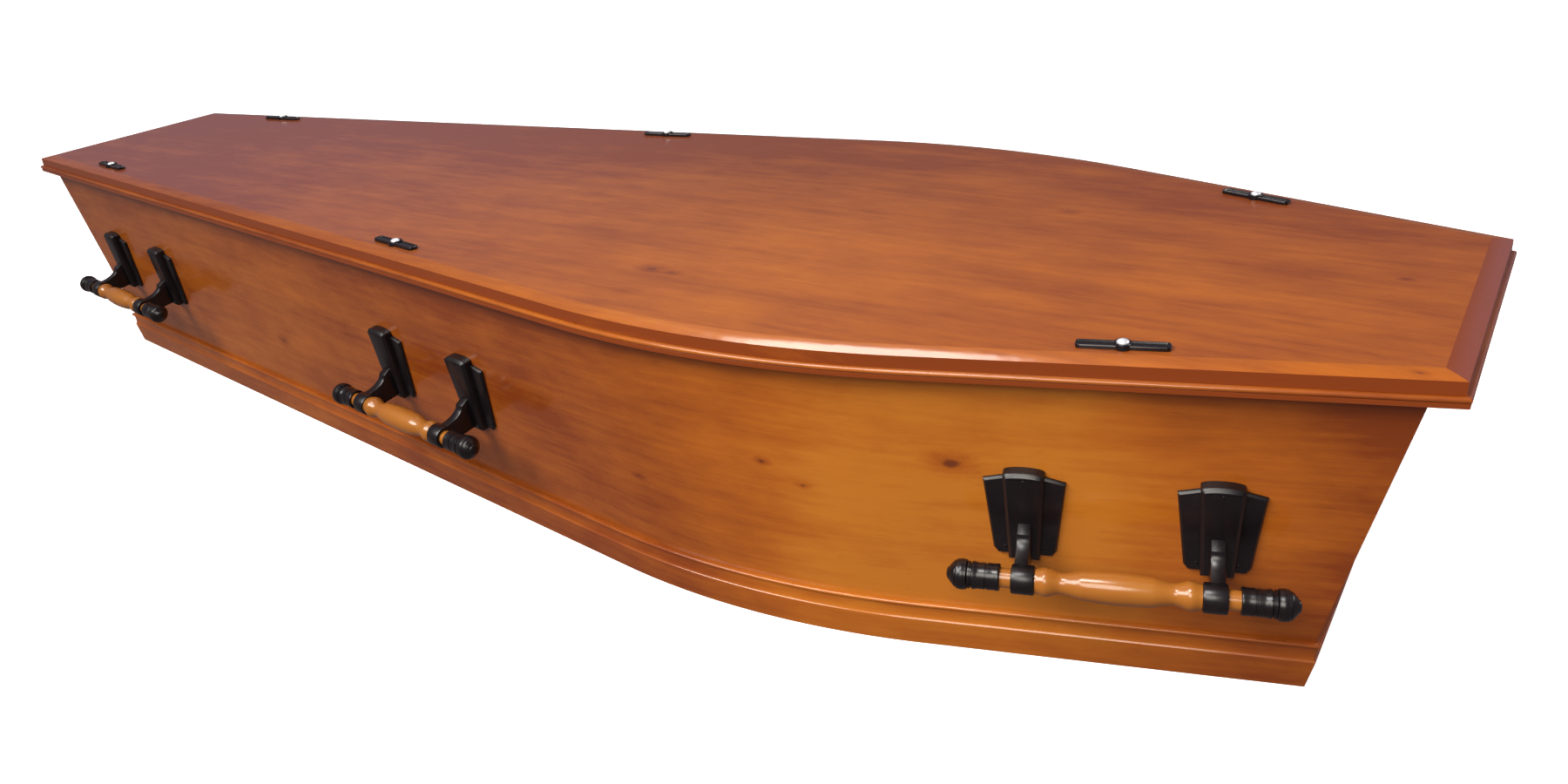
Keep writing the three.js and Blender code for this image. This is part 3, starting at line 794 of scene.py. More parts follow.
def path_mesh(points):
    """A path's points in a row, each with how the insets move it."""
    mesh = bpy.data.meshes.new("path")
    mesh.from_pydata([point.base for point in points], [(i, i + 1) for i in range(len(points) - 1)], [])
    for field in PathPoint._fields[:-1]:
        store_vectors(mesh, field, [getattr(point, field) for point in points])
    store_numbers(mesh, "along", [point.along for point in points])
    return mesh


def girths(section):
    """How far round the section each of its points lies from the first one."""
    walked = [0.0]
    for before, here in zip(section, section[1:]):
        walked.append(walked[-1] + math.hypot(here.side - before.side, here.height - before.height))
    return walked


def section_mesh(section):
    """A section's closed loop, each point with its insets, its height and its way round."""
    count = len(section)
    corners = [(-point.side, point.height, 0) for point in section]
    mesh = bpy.data.meshes.new("section")
    mesh.from_pydata(corners, [(i, (i + 1) % count) for i in range(count)], [])
    store_vectors(mesh, "reach", [(point.side, point.foot, point.head) for point in section])
    store_numbers(mesh, "height", [point.height for point in section])
    store_numbers(mesh, "girth", girths(section))
    return mesh


def shape_tree(name, inputs):
    """A modifier's tree with named inputs, its nodes, and the sockets that the inputs come from."""
    tree = bpy.data.node_groups.new(name, "GeometryNodeTree")
    tree.is_modifier = True
    for label, kind in inputs.items():
        tree.interface.new_socket(label, in_out="INPUT", socket_type=f"NodeSocket{kind}")
    tree.interface.new_socket("Shape", in_out="OUTPUT", socket_type="NodeSocketGeometry")
    nodes = Nodes(tree)
    return tree, nodes, nodes.add("NodeGroupInput").outputs


def end_tree(nodes, geometry, finish):
    """Ends a tree in plain geometry that wears its finish."""
    whole = nodes.add("GeometryNodeRealizeInstances", {"Geometry": geometry}).outputs["Geometry"]
    coated = nodes.add("GeometryNodeSetMaterial", {"Geometry": whole, "Material": finish})
    nodes.add("NodeGroupOutput", {"Shape": coated.outputs["Geometry"]})


def length_tree():
    """A board or moulding swept along its path. Its ends meet their neighbours at mitres.

    Each point of the path says where it is and how far an inset of the side, the foot or the head
    moves it, and each point of the section says its three insets and its height.
    """
    tree, nodes, given = shape_tree("Mitred length", {
        "Path": "Geometry", "Section": "Object", "Grain start": "Vector", "Finish": "Material",
    })
    section = nodes.add("GeometryNodeObjectInfo", {"Object": given["Section"]}).outputs["Geometry"]
    path = nodes.add("GeometryNodeMeshToCurve", {"Mesh": given["Path"]}).outputs["Curve"]
    profile = nodes.add("GeometryNodeMeshToCurve", {"Mesh": section}).outputs["Curve"]
    swept = nodes.add("GeometryNodeCurveToMesh", {"Curve": path, "Profile Curve": profile, "Fill Caps": True})

    reach = nodes.parts(nodes.named("reach"))
    inset = nodes.scaled(nodes.named("side_in"), reach["X"])
    inset = nodes.vector("ADD", inset, nodes.scaled(nodes.named("foot_in"), reach["Y"]))
    inset = nodes.vector("ADD", inset, nodes.scaled(nodes.named("head_in"), reach["Z"]))
    raised = nodes.joined(z=nodes.named("height", "FLOAT"))
    spot = nodes.vector("ADD", nodes.vector("ADD", nodes.named("base"), inset), raised)
    placed = nodes.add("GeometryNodeSetPosition", {"Geometry": swept.outputs["Mesh"], "Position": spot})

    slide = nodes.vector("DOT_PRODUCT", nodes.named("run"), inset)
    along = nodes.total(nodes.named("along", "FLOAT"), slide)
    walked = nodes.joined(along, nodes.named("girth", "FLOAT"))
    grain = nodes.vector("ADD", walked, given["Grain start"])
    feeds = {"Geometry": placed.outputs["Geometry"], "Name": "grain", "Value": grain}
    mapped = nodes.add("GeometryNodeStoreNamedAttribute", feeds, data_type="FLOAT2", domain="CORNER")
    end_tree(nodes, mapped.outputs["Geometry"], given["Finish"])
    return tree


def baked(carrier, tree, inputs, leftovers):
    """Runs a tree on a carrier and puts the result in it as a plain mesh, without its leftovers."""
    modifier = carrier.modifiers.new("Shape", "NODES")
    modifier.node_group = tree
    sockets = {item.name: item.identifier for item in tree.interface.items_tree if item.in_out == "INPUT"}
    for label, value in inputs.items():
        modifier[sockets[label]] = value
    graph = bpy.context.evaluated_depsgraph_get()
    mesh = bpy.data.meshes.new_from_object(carrier.evaluated_get(graph), depsgraph=graph)
    if not mesh.polygons:
        raise RuntimeError(f"{carrier.name}: its node tree made no faces")
    carrier.modifiers.remove(modifier)
    carrier.data = mesh
    mesh.name = carrier.name
    for name in leftovers:
        if name in mesh.attributes:
            mesh.attributes.remove(mesh.attributes[name])
    shape = bmesh.new()
    shape.from_mesh(mesh)
    bmesh.ops.recalc_face_normals(shape, faces=shape.faces)
    shape.to_mesh(mesh)
    shape.free()
    smooth_shaded(mesh)


SWEEP_ATTRIBUTES = (*PathPoint._fields, "reach", "height", "girth")


def swept_lengths(plan, section, pieces):
    """The lengths of a board or moulding that goes round the coffin.

    pieces says for each place the length's name, its material and where its grain starts.
    """
    paths = {side: side_path(plan, sign) for side, sign in SIDES.items()}
    paths["foot"] = end_path(plan, -1)
    paths["head"] = end_path(plan, 1)
    outline = new_object("section", section_mesh(section))
    tree = length_tree()
    for place, points in paths.items():
        name, material, start = pieces[place]
        carrier = new_object(f"pine_{name}", path_mesh(points))
        inputs = {"Section": outline, "Grain start": start, "Finish": material}
        baked(carrier, tree, inputs, SWEEP_ATTRIBUTES)
        finished(carrier, None, [name])
    bpy.data.objects.remove(outline)


def on_boards(box, height, proud=0.0):
    """A section's point on the boards' faces at a height, or proud of them."""
    share = 1 - height / box.height
    return SectionPoint(
        box.side_overhang + box.side_lean * share - proud,
        box.foot_overhang + box.foot_lean * share - proud,
        box.head_overhang + box.head_lean * share - proud,
        height,
    )


# Operators


def settings():
    return bpy.context.scene.coffin


class COFFIN_OT_boards(bpy.types.Operator):
    """Make the leaning side and end boards, and finish the base board"""

    bl_idname = "coffin.boards"
    bl_label = "Boards"

    def execute(self, context):
        plan, box, finish = settings().plan, settings().box, settings().finish
        section = [
            on_boards(box, 0),
            on_boards(box, box.height),
            on_boards(box, box.height, -box.thickness),
            on_boards(box, 0, -box.thickness),
        ]
        knots = (
            Knot(1.650, 0.205, 0.0055, 0.85),
            Knot(1.470, 0.185, 0.0022, 0.8),
            Knot(1.510, 0.165, 0.0020, 0.6),
            Knot(1.310, 0.130, 0.0020, 0.5),
            Knot(0.610, 0.120, 0.0040, 0.5),
        )
        # Painted light and shade along the side boards: lighter a little short of the head, where the light
        # pools, and darker towards both ends
        painted_light_tones = (
            LightTone(0.0, 0.26), LightTone(0.5, 0.18), LightTone(0.94, 0.34), LightTone(1.14, 0.42), LightTone(1.32, 0.34),
            LightTone(1.44, 0.08), LightTone(1.56, -0.30), LightTone(1.74, -0.32), LightTone(1.86, 0.08), LightTone(2.02, 0.56),
        )
        # Painted shade under the lid's overhang: the boards' top 90 mm is painted darker
        rim = (box.height - 0.09, box.height, 0.10)
        near = pine_material("side_pine_near", finish, 1, knots, painted_light_tones, rim)
        far = pine_material("side_pine_far", finish, 2, knots[1:], painted_light_tones, rim)
        start = (0, 0, 0)
        swept_lengths(plan, section, {
            "near": ("side_board_near", near, start),
            "far": ("side_board_far", far, start),
            "foot": ("end_board_foot", pine_material("end_pine_foot", finish, 3), start),
            "head": ("end_board_head", pine_material("end_pine_head", finish, 4), start),
        })
        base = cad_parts["base_board"]
        base.data.materials.clear()
        base.data.materials.append(pine_material("base_pine", finish, 5, staves=True, own_uv=False))
        return {"FINISHED"}


def moulding_pieces(name, material, grain_row):
    """The four lengths of a moulding, each with its own piece of the grain."""
    starts = {"near": 0.0, "far": 0.0, "foot": -1.5, "head": 9.3}
    return {place: (f"{name}_{place}", material, (along, grain_row, 0)) for place, along in starts.items()}


class COFFIN_OT_plinth(bpy.types.Operator):
    """Make the plinth moulding: a small bead, a hollow and a plain band down to the floor"""

    bl_idname = "coffin.plinth"
    bl_label = "Plinth"

    def execute(self, context):
        plan, box, finish = settings().plan, settings().box, settings().finish
        quirk, arris, foot = 0.0004, 0.0003, 0.0006
        radius = box.bead_radius
        bead = (box.bead_proud - radius, box.plinth_height - radius)
        hollow_top = box.plinth_height - 2 * radius - quirk
        hollow = (box.band_proud - box.hollow_proud, hollow_top - box.band_height)
        drawn = [(CLEARANCE, 0.0), (CLEARANCE, box.plinth_height)]
        drawn += arc(bead, (radius, radius), 90, -80, 12)
        drawn += arc((box.band_proud, hollow_top), hollow, 180, 262, 12)
        drawn += [
            (box.band_proud - arris, box.band_height),
            (box.band_proud, box.band_height - quirk),
            (box.band_proud, foot),
            (box.band_proud - foot, 0.0),
        ]
        section = [on_boards(box, height, proud) for proud, height in drawn]
        # Painted light and shade along the plinth: lighter a little short of the head, darker towards both
        # ends
        painted_light_tones = (
            LightTone(0.0, 0.16), LightTone(0.5, 0.30), LightTone(1.0, 0.46), LightTone(1.34, 0.42), LightTone(1.50, -0.08),
            LightTone(1.62, -0.10), LightTone(2.02, 0.40),
        )
        material = pine_material("plinth_pine", finish, 6, painted_light_tones=painted_light_tones)
        swept_lengths(plan, section, moulding_pieces("plinth", material, 0.2))
        return {"FINISHED"}


class COFFIN_OT_lid_moulding(bpy.types.Operator):
    """Make the bead moulding that lies on the boards under the lid's panel"""

    bl_idname = "coffin.lid_moulding"
    bl_label = "Lid moulding"

    def execute(self, context):
        plan, box, lid, finish = settings().plan, settings().box, settings().lid, settings().finish
        low, high = bottom_of("lid_moulding_near"), top_of("lid_moulding_near")
        radius, listel = lid.bead_radius, -lid.listel_setback
        quirk = high - 2 * radius
        quirk_depth, quirk_middle, quirk_fall, ease = 0.0007, 0.0004, 0.0003, 0.0002
        drawn = arc((-radius, high - radius), (radius, radius), 90, -76, 14)
        drawn += [
            (listel - quirk_depth, quirk),
            (listel - quirk_middle, quirk - quirk_fall),
            (listel, quirk - quirk_fall * 2),
            (listel, low + ease),
            (listel - ease, low),
        ]
        seat = on_boards(box, box.height, -lid.moulding_seat)
        section = [seat._replace(height=low), seat._replace(height=high)]
        section += [SectionPoint(-out, -out, -out, height) for out, height in drawn]
        # Painted shade under the bead: the quirk and the listel below it are painted darker
        bead_end, quirk_start = girths(section)[-6:-4]
        rim = (bead_end, quirk_start, 0.80)
        # Painted light and shade along the moulding: darker at the foot and at the head end
        painted_light_tones = (LightTone(0.0, 0.42), LightTone(0.9, 0.26), LightTone(1.35, 0.10), LightTone(1.75, 0.08), LightTone(2.02, 0.40))
        material = pine_material("lid_moulding_pine", finish, 7, painted_light_tones=painted_light_tones, rim=rim)
        swept_lengths(plan, section, moulding_pieces("lid_moulding", material, 0))
        return {"FINISHED"}


class COFFIN_OT_lid_panel(bpy.types.Operator):
    """Make the lid's panel with its upright edge and its long, shallow bevel"""

    bl_idname = "coffin.lid_panel"
    bl_label = "Lid panel"

    # The bevel is so shallow that its arris turns by a few degrees, and still shows as an edge
    arris_angle = math.radians(4)

    def execute(self, context):
        plan, lid, finish = settings().plan, settings().lid, settings().finish
        low, high = bottom_of("lid_panel"), top_of("lid_panel")
        sides = [self.stops(plan, sign) for sign in SIDES.values()]
        loops = []
        for inset, height in [(lid.panel_setback, low), *self.bevel(lid, high)]:
            near, far = [
                [stop.base + self.inward(stop) * inset + UP * height for stop in stops] for stops in sides
            ]
            loops.append(near + far[::-1])
        shape = bmesh.new()
        add_stack(shape, loops)
        grain = shape.loops.layers.uv.new("grain")
        # Painted shade and light for each face, read by the lid's material
        shade = shape.loops.layers.float.new("shade")
        for face in shape.faces:
            face.normal_update()
            face_shade = self.edge_shade(face.normal)
            for loop in face.loops:
                spot = loop.vert.co
                loop[grain].uv = (spot.x, spot.y + math.copysign(high - spot.z, spot.y))
                loop[shade] = face_shade
        piece = new_object("pine_lid_panel", mesh_of(shape, "pine_lid_panel", self.arris_angle))
        knots = (
            Knot(0.287, -0.200, 0.0045, 0.60),
            Knot(0.312, -0.201, 0.0032, 0.50),
            Knot(0.924, 0.019, 0.0018, 0.55),
            Knot(0.960, -0.164, 0.0016, 0.50),
            Knot(0.60, 0.10, 0.0035, 0.35),
            Knot(0.16, 0.19, 0.004, 0.3),
        )
        # Painted light and shade along the lid: darker towards the foot, lightest near the shoulder. Its rim
        # is painted shade towards the far side
        painted_light_tones = (LightTone(-1.0, 0.50), LightTone(-0.5, 0.40), LightTone(0.1, 0.25), LightTone(0.42, 0.14), LightTone(1.0, 0.24))
        material = pine_material("lid_pine", finish, 8, knots, painted_light_tones, rim=(-0.06, 0.26, 0.30), shaded=True)
        finished(piece, material, ["lid_panel"])
        return {"FINISHED"}

    @staticmethod
    def inward(stop):
        return stop.side_in + stop.foot_in + stop.head_in

    @staticmethod
    def edge_shade(normal):
        """Painted shade and light: the upright edge and the head end are painted darker, the long bevels
        lighter.
        """
        upright, more_at_head, head_bevel, long_bevel = 0.33, 0.35, 0.5, -0.13
        if abs(normal.z) < 0.5:
            return upright + more_at_head * max(0.0, normal.x)
        if abs(normal.z) > 0.9995:
            return 0.0
        at_head = normal.x > 0.5 * math.hypot(normal.x, normal.y)
        return head_bevel if at_head else long_bevel

    @staticmethod
    def bevel(lid, high):
        """The bevel's insets and heights, a little crowned between its two sharp arrises."""
        steps = 6
        points = []
        for step in range(steps + 1):
            share = step / steps
            bulge = lid.bevel_crown * 4 * share * (1 - share)
            height = high - lid.bevel_rise * (1 - share) + bulge
            points.append((lid.panel_setback + lid.bevel_run * share, height))
        return points

    @staticmethod
    def stops(plan, sign):
        """The side's path, without the mitre gaps, because the panel is one piece."""
        points = side_path(plan, sign)
        shift = plan.mitre_gap / 2
        first, last = points[0], points[-1]
        points[0] = first._replace(base=first.base - first.run * shift)
        points[-1] = last._replace(base=last.base + last.run * shift)
        return points


def side_turn(side, station):
    """The turn of a straight side at a station: X along it and -Y outwards."""
    plan = settings().plan
    _, _, _, foot_run, head_run = straight_runs(plan)
    run = foot_run if station < plan.length / 2 - plan.shoulder_from_head else head_run
    angle = math.atan2(run.y, run.x)
    return Matrix.Rotation(-angle if SIDES[side] < 0 else math.pi + angle, 4, "Z")


def handle_place(side, place):
    """From a handle's own frame, with the bar's middle as origin, to the coffin."""
    box = settings().box
    centre = middle_of(f"handle_{side}_{place}_bar")
    lean = Matrix.Rotation(math.atan2(box.side_lean, box.height), 4, "X")
    return Matrix.Translation(centre) @ side_turn(side, centre.x) @ lean


def bracket_outlines(handle):
    """The wings' and the rib's outlines as (across, up), from the bar's axis."""
    wing_foot, wing_corner, corner_rise = 0.0225, 0.0265, 0.006
    wing_tip, wing_root, root_rise = 0.034, 0.017, 0.0043
    rib_foot, crest_half, crest_rise = 0.013, 0.017, 0.0035
    low = -handle.base_drop
    wing_top = low + handle.wing_height
    right = [
        (wing_foot, low),
        (wing_corner, low + corner_rise),
        (wing_tip, wing_top),
        (wing_root, wing_top + root_rise),
    ]
    wings = right + [(-across, up) for across, up in reversed(right)]
    crest = arc((0, low + handle.rib_height), (crest_half, crest_rise), 0, 180, 10)
    return wings, [(-rib_foot, low), (rib_foot, low), *crest]


def arm_outline(handle):
    """The arm from the side, as (out, up): a shelf off the rib and a hollow down to the sleeve."""
    low = -handle.base_drop
    top = low + handle.arm_top
    root = handle.wing_thickness - handle.wing_chamfer
    shelf = top - handle.shelf_fall
    end = handle.standoff - handle.hollow_end
    hollow = arc((end, shelf), (end - handle.shelf_reach, handle.hollow_depth), 270, 182, 14)
    lip, root_rise, end_rise = 0.0004, 0.005, 0.004
    return [
        (root, low + root_rise),
        (handle.standoff, low + end_rise),
        (handle.standoff, 0.0),
        *hollow,
        (handle.shelf_reach - lip, shelf + lip),
        (handle.rib_thickness, top),
        (root, top),
    ]


def add_bracket(shape, handle, hand):
    """A cast bracket: wings, a rib on them, an arm and the sleeve that holds the bar."""
    centre = hand * handle.spacing / 2
    wings, rib = bracket_outlines(handle)
    face = handle.standoff - CLEARANCE

    def on_board(across, up, out):
        return Vector((centre + across, face - out, up))

    add_plate(shape, wings, handle.wing_thickness, handle.wing_chamfer, on_board)
    add_plate(shape, rib, handle.rib_thickness, handle.rib_chamfer, on_board)

    middle = centre - hand * handle.arm_shift
    half, rim = handle.arm_width / 2, 0.0012
    edge = [(-half, rim), (-half + rim * 0.3, rim * 0.3), (-half + rim, 0.0)]
    side_view = arm_outline(handle)
    loops = []
    for across, inset in edge + [(-across, inset) for across, inset in reversed(edge)]:
        loops.append([Vector((middle + across, face - out, up)) for out, up in inset_loop(side_view, inset)])
    add_stack(shape, loops)

    middle = centre - hand * handle.sleeve_shift
    half, radius, bore, rim = handle.sleeve_length / 2, handle.sleeve_radius, 0.0084, 0.0014
    edge = [(half - rim, radius), (half - rim * 0.3, radius - rim * 0.3), (half, radius - rim), (half, bore)]
    ring = edge + [(-along, out) for along, out in reversed(edge)]

    def round_bar(along, aside, up):
        return Vector((middle + along, aside, up))

    add_turned(shape, ring, handle.sides, round_bar, closed=True)


def bar_profile(handle):
    """The turned bar: a long belly, a neck and a bulb against each sleeve, and a bare end ring."""
    sleeve_face = (handle.spacing - handle.sleeve_length) / 2 - handle.sleeve_shift
    neck, neck_radius = sleeve_face - 0.021, 0.0088
    bulb, bulb_radius = sleeve_face - 0.0085, 0.012
    belly = handle.belly_radius
    bulb_end = sleeve_face - CLEARANCE
    cap_start = sleeve_face + handle.sleeve_length + handle.bare_ring
    bar_end, core = cap_start + 0.015, 0.0082
    slope, slope_radius = neck * 0.6, belly - 0.0013
    bulb_end_radius = 0.0103
    half = smooth_profile([
        (0.0, belly),
        (slope, slope_radius),
        (neck, neck_radius),
        (bulb, bulb_radius),
        (bulb_end, bulb_end_radius),
    ], 14)
    half += [(bulb_end, core), (bar_end, core), (bar_end, 0.0)]
    return [(-along, radius) for along, radius in reversed(half)] + half[1:], cap_start


def cap_profile(handle, start):
    """An end cap from its mouth to its nose, as it is turned."""
    collar = handle.cap_radius
    mouth = [(0.0153, 0.0), (0.0153, 0.0085), (0.0003, 0.0085), (0.0003, 0.0106), (0.0009, 0.0112)]
    ferrule = smooth_profile([(0.0013, 0.0113), (0.0060, 0.0110), (0.0105, 0.0112)], 5)
    groove = [(0.0108, 0.0104), (0.0118, 0.0104), (0.0121, 0.0111)]
    waist = smooth_profile([(0.0125, 0.0111), (0.0175, 0.0109), (0.0224, 0.0117)], 6)
    ring = [
        (0.0229, 0.0112), (0.0233, 0.0103), (0.0244, 0.0103), (0.0247, 0.0114), (0.0262, 0.0114),
        (0.0266, 0.0108), (0.0270, 0.0118),
    ]
    bulge = smooth_profile([(0.0276, collar - 0.0004), (0.0314, collar), (0.0352, collar - 0.0005)], 6)
    step = [(0.0358, 0.0118), (0.0361, 0.0112)]
    nose = smooth_profile([(0.0364, 0.0114), (0.0402, 0.0082), (0.0429, 0.0052)], 6)
    tip = [(0.0438, 0.0036), (0.0443, 0.0019), (0.0445, 0.0)]
    turned = mouth + ferrule + groove + waist + ring + bulge + step + nose + tip
    return [(start + along, radius) for along, radius in turned]


class COFFIN_OT_handles(bpy.types.Operator):
    """Make the six handles: turned bars, cast brackets and end caps"""

    bl_idname = "coffin.handles"
    bl_label = "Handles"

    def execute(self, context):
        handle, finish = settings().handle, settings().finish
        cast = black_material("cast_black", finish, finish.bracket_roughness)
        turned = black_material("turned_black", finish, finish.cap_roughness)
        wood = pine_material(
            "turned_pine", finish, 11, lighter=0.03, roughness=finish.bar_roughness, wash=finish.turned,
        )
        bar, cap_start = bar_profile(handle)
        cap = cap_profile(handle, cap_start)
        for side, place in STATIONS:
            name = f"handle_{side}_{place}"
            matrix = handle_place(side, place)
            self.turn(bar, 1, matrix, f"{name}_bar", "turned_wood", wood)
            for hand, sign in (("left", -1), ("right", 1)):
                shape = bmesh.new()
                add_bracket(shape, handle, sign)
                put(shape, matrix, "cast", f"{name}_bracket_{hand}", cast)
                self.turn(cap, sign, matrix, f"{name}_cap_{hand}", "black_metal", turned)
        return {"FINISHED"}

    @staticmethod
    def turn(profile, sign, matrix, node, slot, material):
        """A turned piece on the bar's axis, with its profile running towards one hand."""
        def on_axis(along, aside, up):
            return Vector((sign * along, sign * aside, up))

        shape = bmesh.new()
        add_turned(shape, profile, settings().handle.sides, on_axis)
        put(shape, matrix, "turned", node, material)


class COFFIN_OT_fittings(bpy.types.Operator):
    """Make the six lid fittings with their domed screws"""

    bl_idname = "coffin.fittings"
    bl_label = "Lid fittings"

    def execute(self, context):
        fitting, finish = settings().fitting, settings().finish
        black = black_material("fitting_black", finish, finish.fitting_roughness)
        bright = bright_material("screw_bright", finish)
        for side, place in STATIONS:
            name = f"lid_fitting_{side}_{place}"
            centre = middle_of(f"{name}_plate")
            centre.z = top_of("lid_panel")
            matrix = Matrix.Translation(centre) @ side_turn(side, centre.x)
            shape = bmesh.new()
            self.add_bar_plate(shape, fitting)
            put(shape, matrix, "cast", f"{name}_plate", black)
            shape = bmesh.new()
            self.add_screw(shape, fitting)
            put(shape, matrix, "bright", f"{name}_screw", bright)
        return {"FINISHED"}

    @staticmethod
    def add_bar_plate(shape, fitting):
        """A bar with rounded ends and a raised rim, and a boss over its middle."""
        half_length, half_width = fitting.length / 2, fitting.width / 2
        corner = 0.0036
        outline = []
        for x_sign, y_sign, start in ((1, -1, -90), (1, 1, 0), (-1, 1, 90), (-1, -1, 180)):
            centre = (x_sign * (half_length - corner), y_sign * (half_width - corner))
            outline += arc(centre, (corner, corner), start, start + 90, 5)

        # Levels of the bar: its rounded edge, its flat rim, and the step down to its sunk middle
        top = fitting.thickness
        soft, ease, rim, sunk = 0.0003, 0.0009, 0.0011, 0.0010
        levels = (
            (0.0, CLEARANCE), (0.0, top - ease), (soft, top - soft), (ease, top),
            (ease + rim, top), (0.0013 + rim, top - soft), (0.0018 + rim, top - sunk),
        )
        loops = []
        for inset, height in levels:
            loops.append([Vector((x, y, height)) for x, y in inset_loop(outline, inset)])
        add_stack(shape, loops)

        # Levels of the boss: half its length, half its width and the height, up and into its well
        boss = arc((0, 0), (1, 1), 0, 360, 40)[:-1]
        high = fitting.boss_height
        radii = (
            (0.0074, 0.0085, CLEARANCE), (0.0071, 0.0082, high - 0.0012),
            (0.0068, 0.0079, high - 0.0004), (0.0063, 0.0073, high),
            (0.0056, 0.0060, high), (0.0053, 0.0053, high - 0.0008),
        )
        add_stack(shape, [[Vector((x * a, y * b, height)) for x, y in boss] for a, b, height in radii])

    @staticmethod
    def add_screw(shape, fitting):
        sunk, sides = 0.0005, 32
        base = fitting.boss_height - sunk
        dome = arc((0.0, fitting.boss_height), (fitting.screw_radius, fitting.screw_rise), 0, 90, 10)
        profile = [(base, 0.0), (base, fitting.screw_radius)]
        profile += [(up, radius) for radius, up in dome[:-1]] + [(dome[-1][1], 0.0)]

        def upright(along, aside, up):
            return Vector((aside, up, along))

        add_turned(shape, profile, sides, upright)


def fastener_tree():
    """Small domed heads, one on each point of a mesh, turned to the point's direction."""
    tree, nodes, given = shape_tree("Fasteners", {
        "Points": "Geometry", "Head radius": "Float", "Head rise": "Float", "Finish": "Material",
    })
    ball = nodes.add("GeometryNodeMeshUVSphere", {"Segments": 16, "Rings": 10, "Radius": 1.0}).outputs["Mesh"]
    turn = nodes.add("FunctionNodeAlignRotationToVector", {"Vector": nodes.named("outward")}, axis="Z")
    heads = nodes.add("GeometryNodeInstanceOnPoints", {
        "Points": given["Points"],
        "Instance": ball,
        "Rotation": turn.outputs["Rotation"],
        "Scale": nodes.joined(given["Head radius"], given["Head radius"], given["Head rise"]),
    })
    end_tree(nodes, heads.outputs["Instances"], given["Finish"])
    return tree


class COFFIN_OT_bracket_screws(bpy.types.Operator):
    """Put the small black heads in the brackets' wings and ribs"""

    bl_idname = "coffin.bracket_screws"
    bl_label = "Bracket screws"

    def execute(self, context):
        handle, finish = settings().handle, settings().finish
        low = -handle.base_drop
        wing_front = handle.standoff - handle.wing_thickness
        rib_front = handle.standoff - handle.rib_thickness
        wing_across, wing_up, rib_up = 0.0165, low + 0.0080, low + 0.0835
        heads = (
            (-wing_across, wing_front, wing_up),
            (wing_across, wing_front, wing_up),
            (0.0, rib_front, rib_up),
        )
        spots, outward = [], []
        for side, place in STATIONS:
            matrix = handle_place(side, place)
            for hand in (-1, 1):
                middle = Vector((hand * handle.spacing / 2, 0, 0))
                spots += [matrix @ (middle + Vector(head)) for head in heads]
                outward += [matrix.to_3x3() @ Vector((0, -1, 0))] * len(heads)
        mesh = bpy.data.meshes.new("bracket_screws")
        mesh.from_pydata(spots, [], [])
        store_vectors(mesh, "outward", outward)
        carrier = new_object("cast_bracket_screws", mesh)
        baked(carrier, fastener_tree(), {
            "Head radius": handle.screw_radius,
            "Head rise": handle.screw_rise,
            "Finish": black_material("screw_black", finish, finish.screw_roughness),
        }, leftovers=("outward",))
        finished(carrier, None, [])
        return {"FINISHED"}


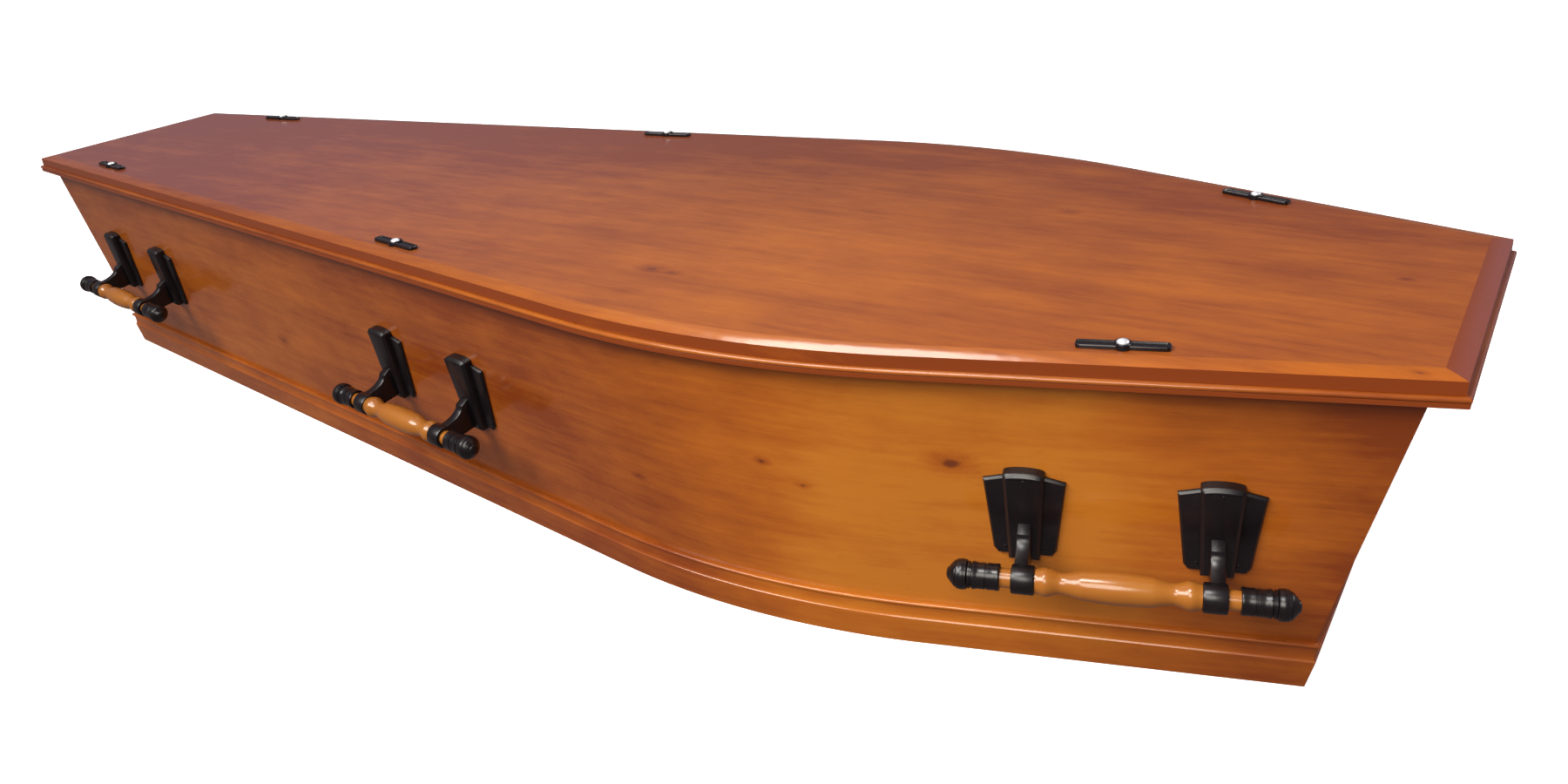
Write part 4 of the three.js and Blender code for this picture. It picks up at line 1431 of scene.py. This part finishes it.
class COFFIN_OT_stage(bpy.types.Operator):
    """Lay the pale floor and set the soft lights and the camera"""

    bl_idname = "coffin.stage"
    bl_label = "Stage"

    def execute(self, context):
        stage = settings().stage
        context.scene.view_settings.view_transform = "Standard"
        self.lay_floor(stage)
        self.hang_sky(stage)
        sheen = self.add_sun("sheen_light", stage.sheen_strength, stage.sheen_towards, stage.sheen_width)
        gleam = self.add_sun("gleam_light", stage.gleam_strength, stage.gleam_towards, stage.gleam_width)
        for highlight in (sheen, gleam):
            highlight.visible_diffuse = False
        self.add_sun("key_light", stage.key_strength, stage.key_towards, stage.light_width)
        self.add_sun("back_light", stage.back_strength, stage.back_towards, stage.light_width)
        self.add_window(stage)
        self.add_camera(stage)
        return {"FINISHED"}

    @staticmethod
    def lay_floor(stage):
        half = stage.floor_size / 2
        corners = [(-half, -half, 0), (half, -half, 0), (half, half, 0), (-half, half, 0)]
        mesh = bpy.data.meshes.new("floor")
        mesh.from_pydata(corners, [], [(0, 1, 2, 3)])
        material, nodes, shader = new_material("pale_floor")
        nodes.fill(shader, {
            "Base Color": opaque(stage.floor_colour),
            "Roughness": 0.7,
            "Specular IOR Level": 0.15,
            "Emission Color": opaque(stage.floor_colour),
            "Emission Strength": stage.floor_glow,
        })
        mesh.materials.append(material)
        floor = new_object("floor", mesh)
        floor.visible_glossy = False
        floor.visible_diffuse = False

    @staticmethod
    def hang_sky(stage):
        """Dim all round, with glows behind the foot end, behind the head end and overhead."""
        world = bpy.data.worlds.new("soft_sky")
        world.use_nodes = True
        nodes = Nodes(world.node_tree)
        direction = nodes.add("ShaderNodeTexCoord").outputs["Generated"]
        height = nodes.parts(direction)["Z"]

        def facing(towards, low, high, smooth=True):
            """How nearly a direction faces a spot of the sky, from 0 to 1."""
            return nodes.ranged(nodes.vector("DOT_PRODUCT", direction, towards), low, high, smooth=smooth)

        above = nodes.ranged(height, -0.04, 0.04, smooth=True)
        low_down = nodes.math("MULTIPLY", above, nodes.ranged(height, 0.24, 0.40, 1.0, 0.0, smooth=True))
        low_down = nodes.math("MULTIPLY", low_down, nodes.ranged(height, 0.13, 0.23, 0.62, 1.06))
        behind_foot = nodes.math("MULTIPLY", facing(stage.dusk_towards, 0.88, 1.0, smooth=False), low_down)
        overhead = facing(stage.mauve_towards, 0.80, 0.97)
        behind_head = facing(stage.cool_towards, 0.963, 0.99)

        colour = nodes.blend(above, opaque(stage.ground_colour), opaque(stage.sky_colour))
        colour = nodes.blend(behind_foot, colour, opaque(stage.dusk_colour))
        colour = nodes.blend(overhead, colour, opaque(stage.mauve_colour))
        colour = nodes.blend(behind_head, colour, opaque(stage.cool_colour))
        nodes.fill(world.node_tree.nodes["Background"], {"Color": colour})
        bpy.context.scene.world = world

    @staticmethod
    def hang_lamp(name, light, place, direction):
        lamp = new_object(name, light)
        lamp.location = place
        lamp.rotation_euler = direction.to_track_quat("-Z", "Y").to_euler()
        return lamp

    def add_sun(self, name, strength, towards, width):
        """A broad soft light from far away. Only its direction counts, so it hangs near by."""
        near_by = 4
        light = bpy.data.lights.new(name, "SUN")
        light.energy = strength
        light.angle = width
        light.color = settings().stage.light_colour
        return self.hang_lamp(name, light, towards * near_by, -towards)

    def add_window(self, stage):
        light = bpy.data.lights.new("window_light", "AREA")
        light.shape = "DISK"
        light.size = stage.window_size
        light.energy = stage.window_power
        light.color = stage.window_colour
        self.hang_lamp("window_light", light, stage.window_place, stage.window_target - stage.window_place)

    @staticmethod
    def add_camera(stage):
        """The camera that the photograph was taken with, worked out from the coffin's corners."""
        image_width, image_height = 1800, 900
        focal_pixels = 1406.5
        centre_pixel = (870.0, 371.7)
        heading, dip, roll = -0.628, 0.393, -0.0900
        camera = bpy.data.cameras.new("camera")
        camera.sensor_width = 36
        camera.lens = focal_pixels / image_width * camera.sensor_width
        camera.shift_x = (image_width / 2 - centre_pixel[0]) / image_width
        camera.shift_y = (centre_pixel[1] - image_height / 2) / image_width
        camera.clip_end = 200
        level_ahead = math.cos(dip)
        forward = Vector((math.sin(heading) * level_ahead, math.cos(heading) * level_ahead, -math.sin(dip)))
        level = Vector((math.cos(heading), -math.sin(heading), 0))
        above = level.cross(forward)
        right = level * math.cos(roll) + above * math.sin(roll)
        up = above * math.cos(roll) - level * math.sin(roll)
        turn = Matrix((right, up, -forward)).transposed().to_4x4()
        view = new_object("camera", camera)
        view.matrix_world = Matrix.Translation(stage.camera_place) @ turn
        bpy.context.scene.camera = view


OPERATORS = (
    COFFIN_OT_stage,
    COFFIN_OT_boards,
    COFFIN_OT_plinth,
    COFFIN_OT_lid_moulding,
    COFFIN_OT_lid_panel,
    COFFIN_OT_handles,
    COFFIN_OT_bracket_screws,
    COFFIN_OT_fittings,
)


class COFFIN_PT_pieces(bpy.types.Panel):
    """Lists the coffin's pieces and their settings"""

    bl_idname = "COFFIN_PT_pieces"
    bl_label = "Wooden coffin"
    bl_space_type = "VIEW_3D"
    bl_region_type = "UI"
    bl_category = "Coffin"

    def draw(self, context):
        for operator in OPERATORS:
            self.layout.operator(operator.bl_idname)
        for group in ("plan", "box", "lid", "handle", "fitting", "finish", "stage"):
            part = self.layout.box()
            part.label(text=group.capitalize())
            values = getattr(context.scene.coffin, group)
            for key in values.__annotations__:
                part.prop(values, key)


CLASSES = (
    CoffinPlan, CoffinBox, CoffinLid, CoffinHandle, CoffinFitting, CoffinFinish, CoffinStage,
    CoffinSettings, *OPERATORS, COFFIN_PT_pieces,
)


def register():
    for cls in CLASSES:
        bpy.utils.register_class(cls)
    bpy.types.Scene.coffin = PointerProperty(type=CoffinSettings)


def unregister():
    del bpy.types.Scene.coffin
    for cls in reversed(CLASSES):
        bpy.utils.unregister_class(cls)


def main():
    register()
    for operator in OPERATORS:
        group, action = operator.bl_idname.split(".")
        getattr(getattr(bpy.ops, group), action)()


if __name__ == "__main__":
    main()
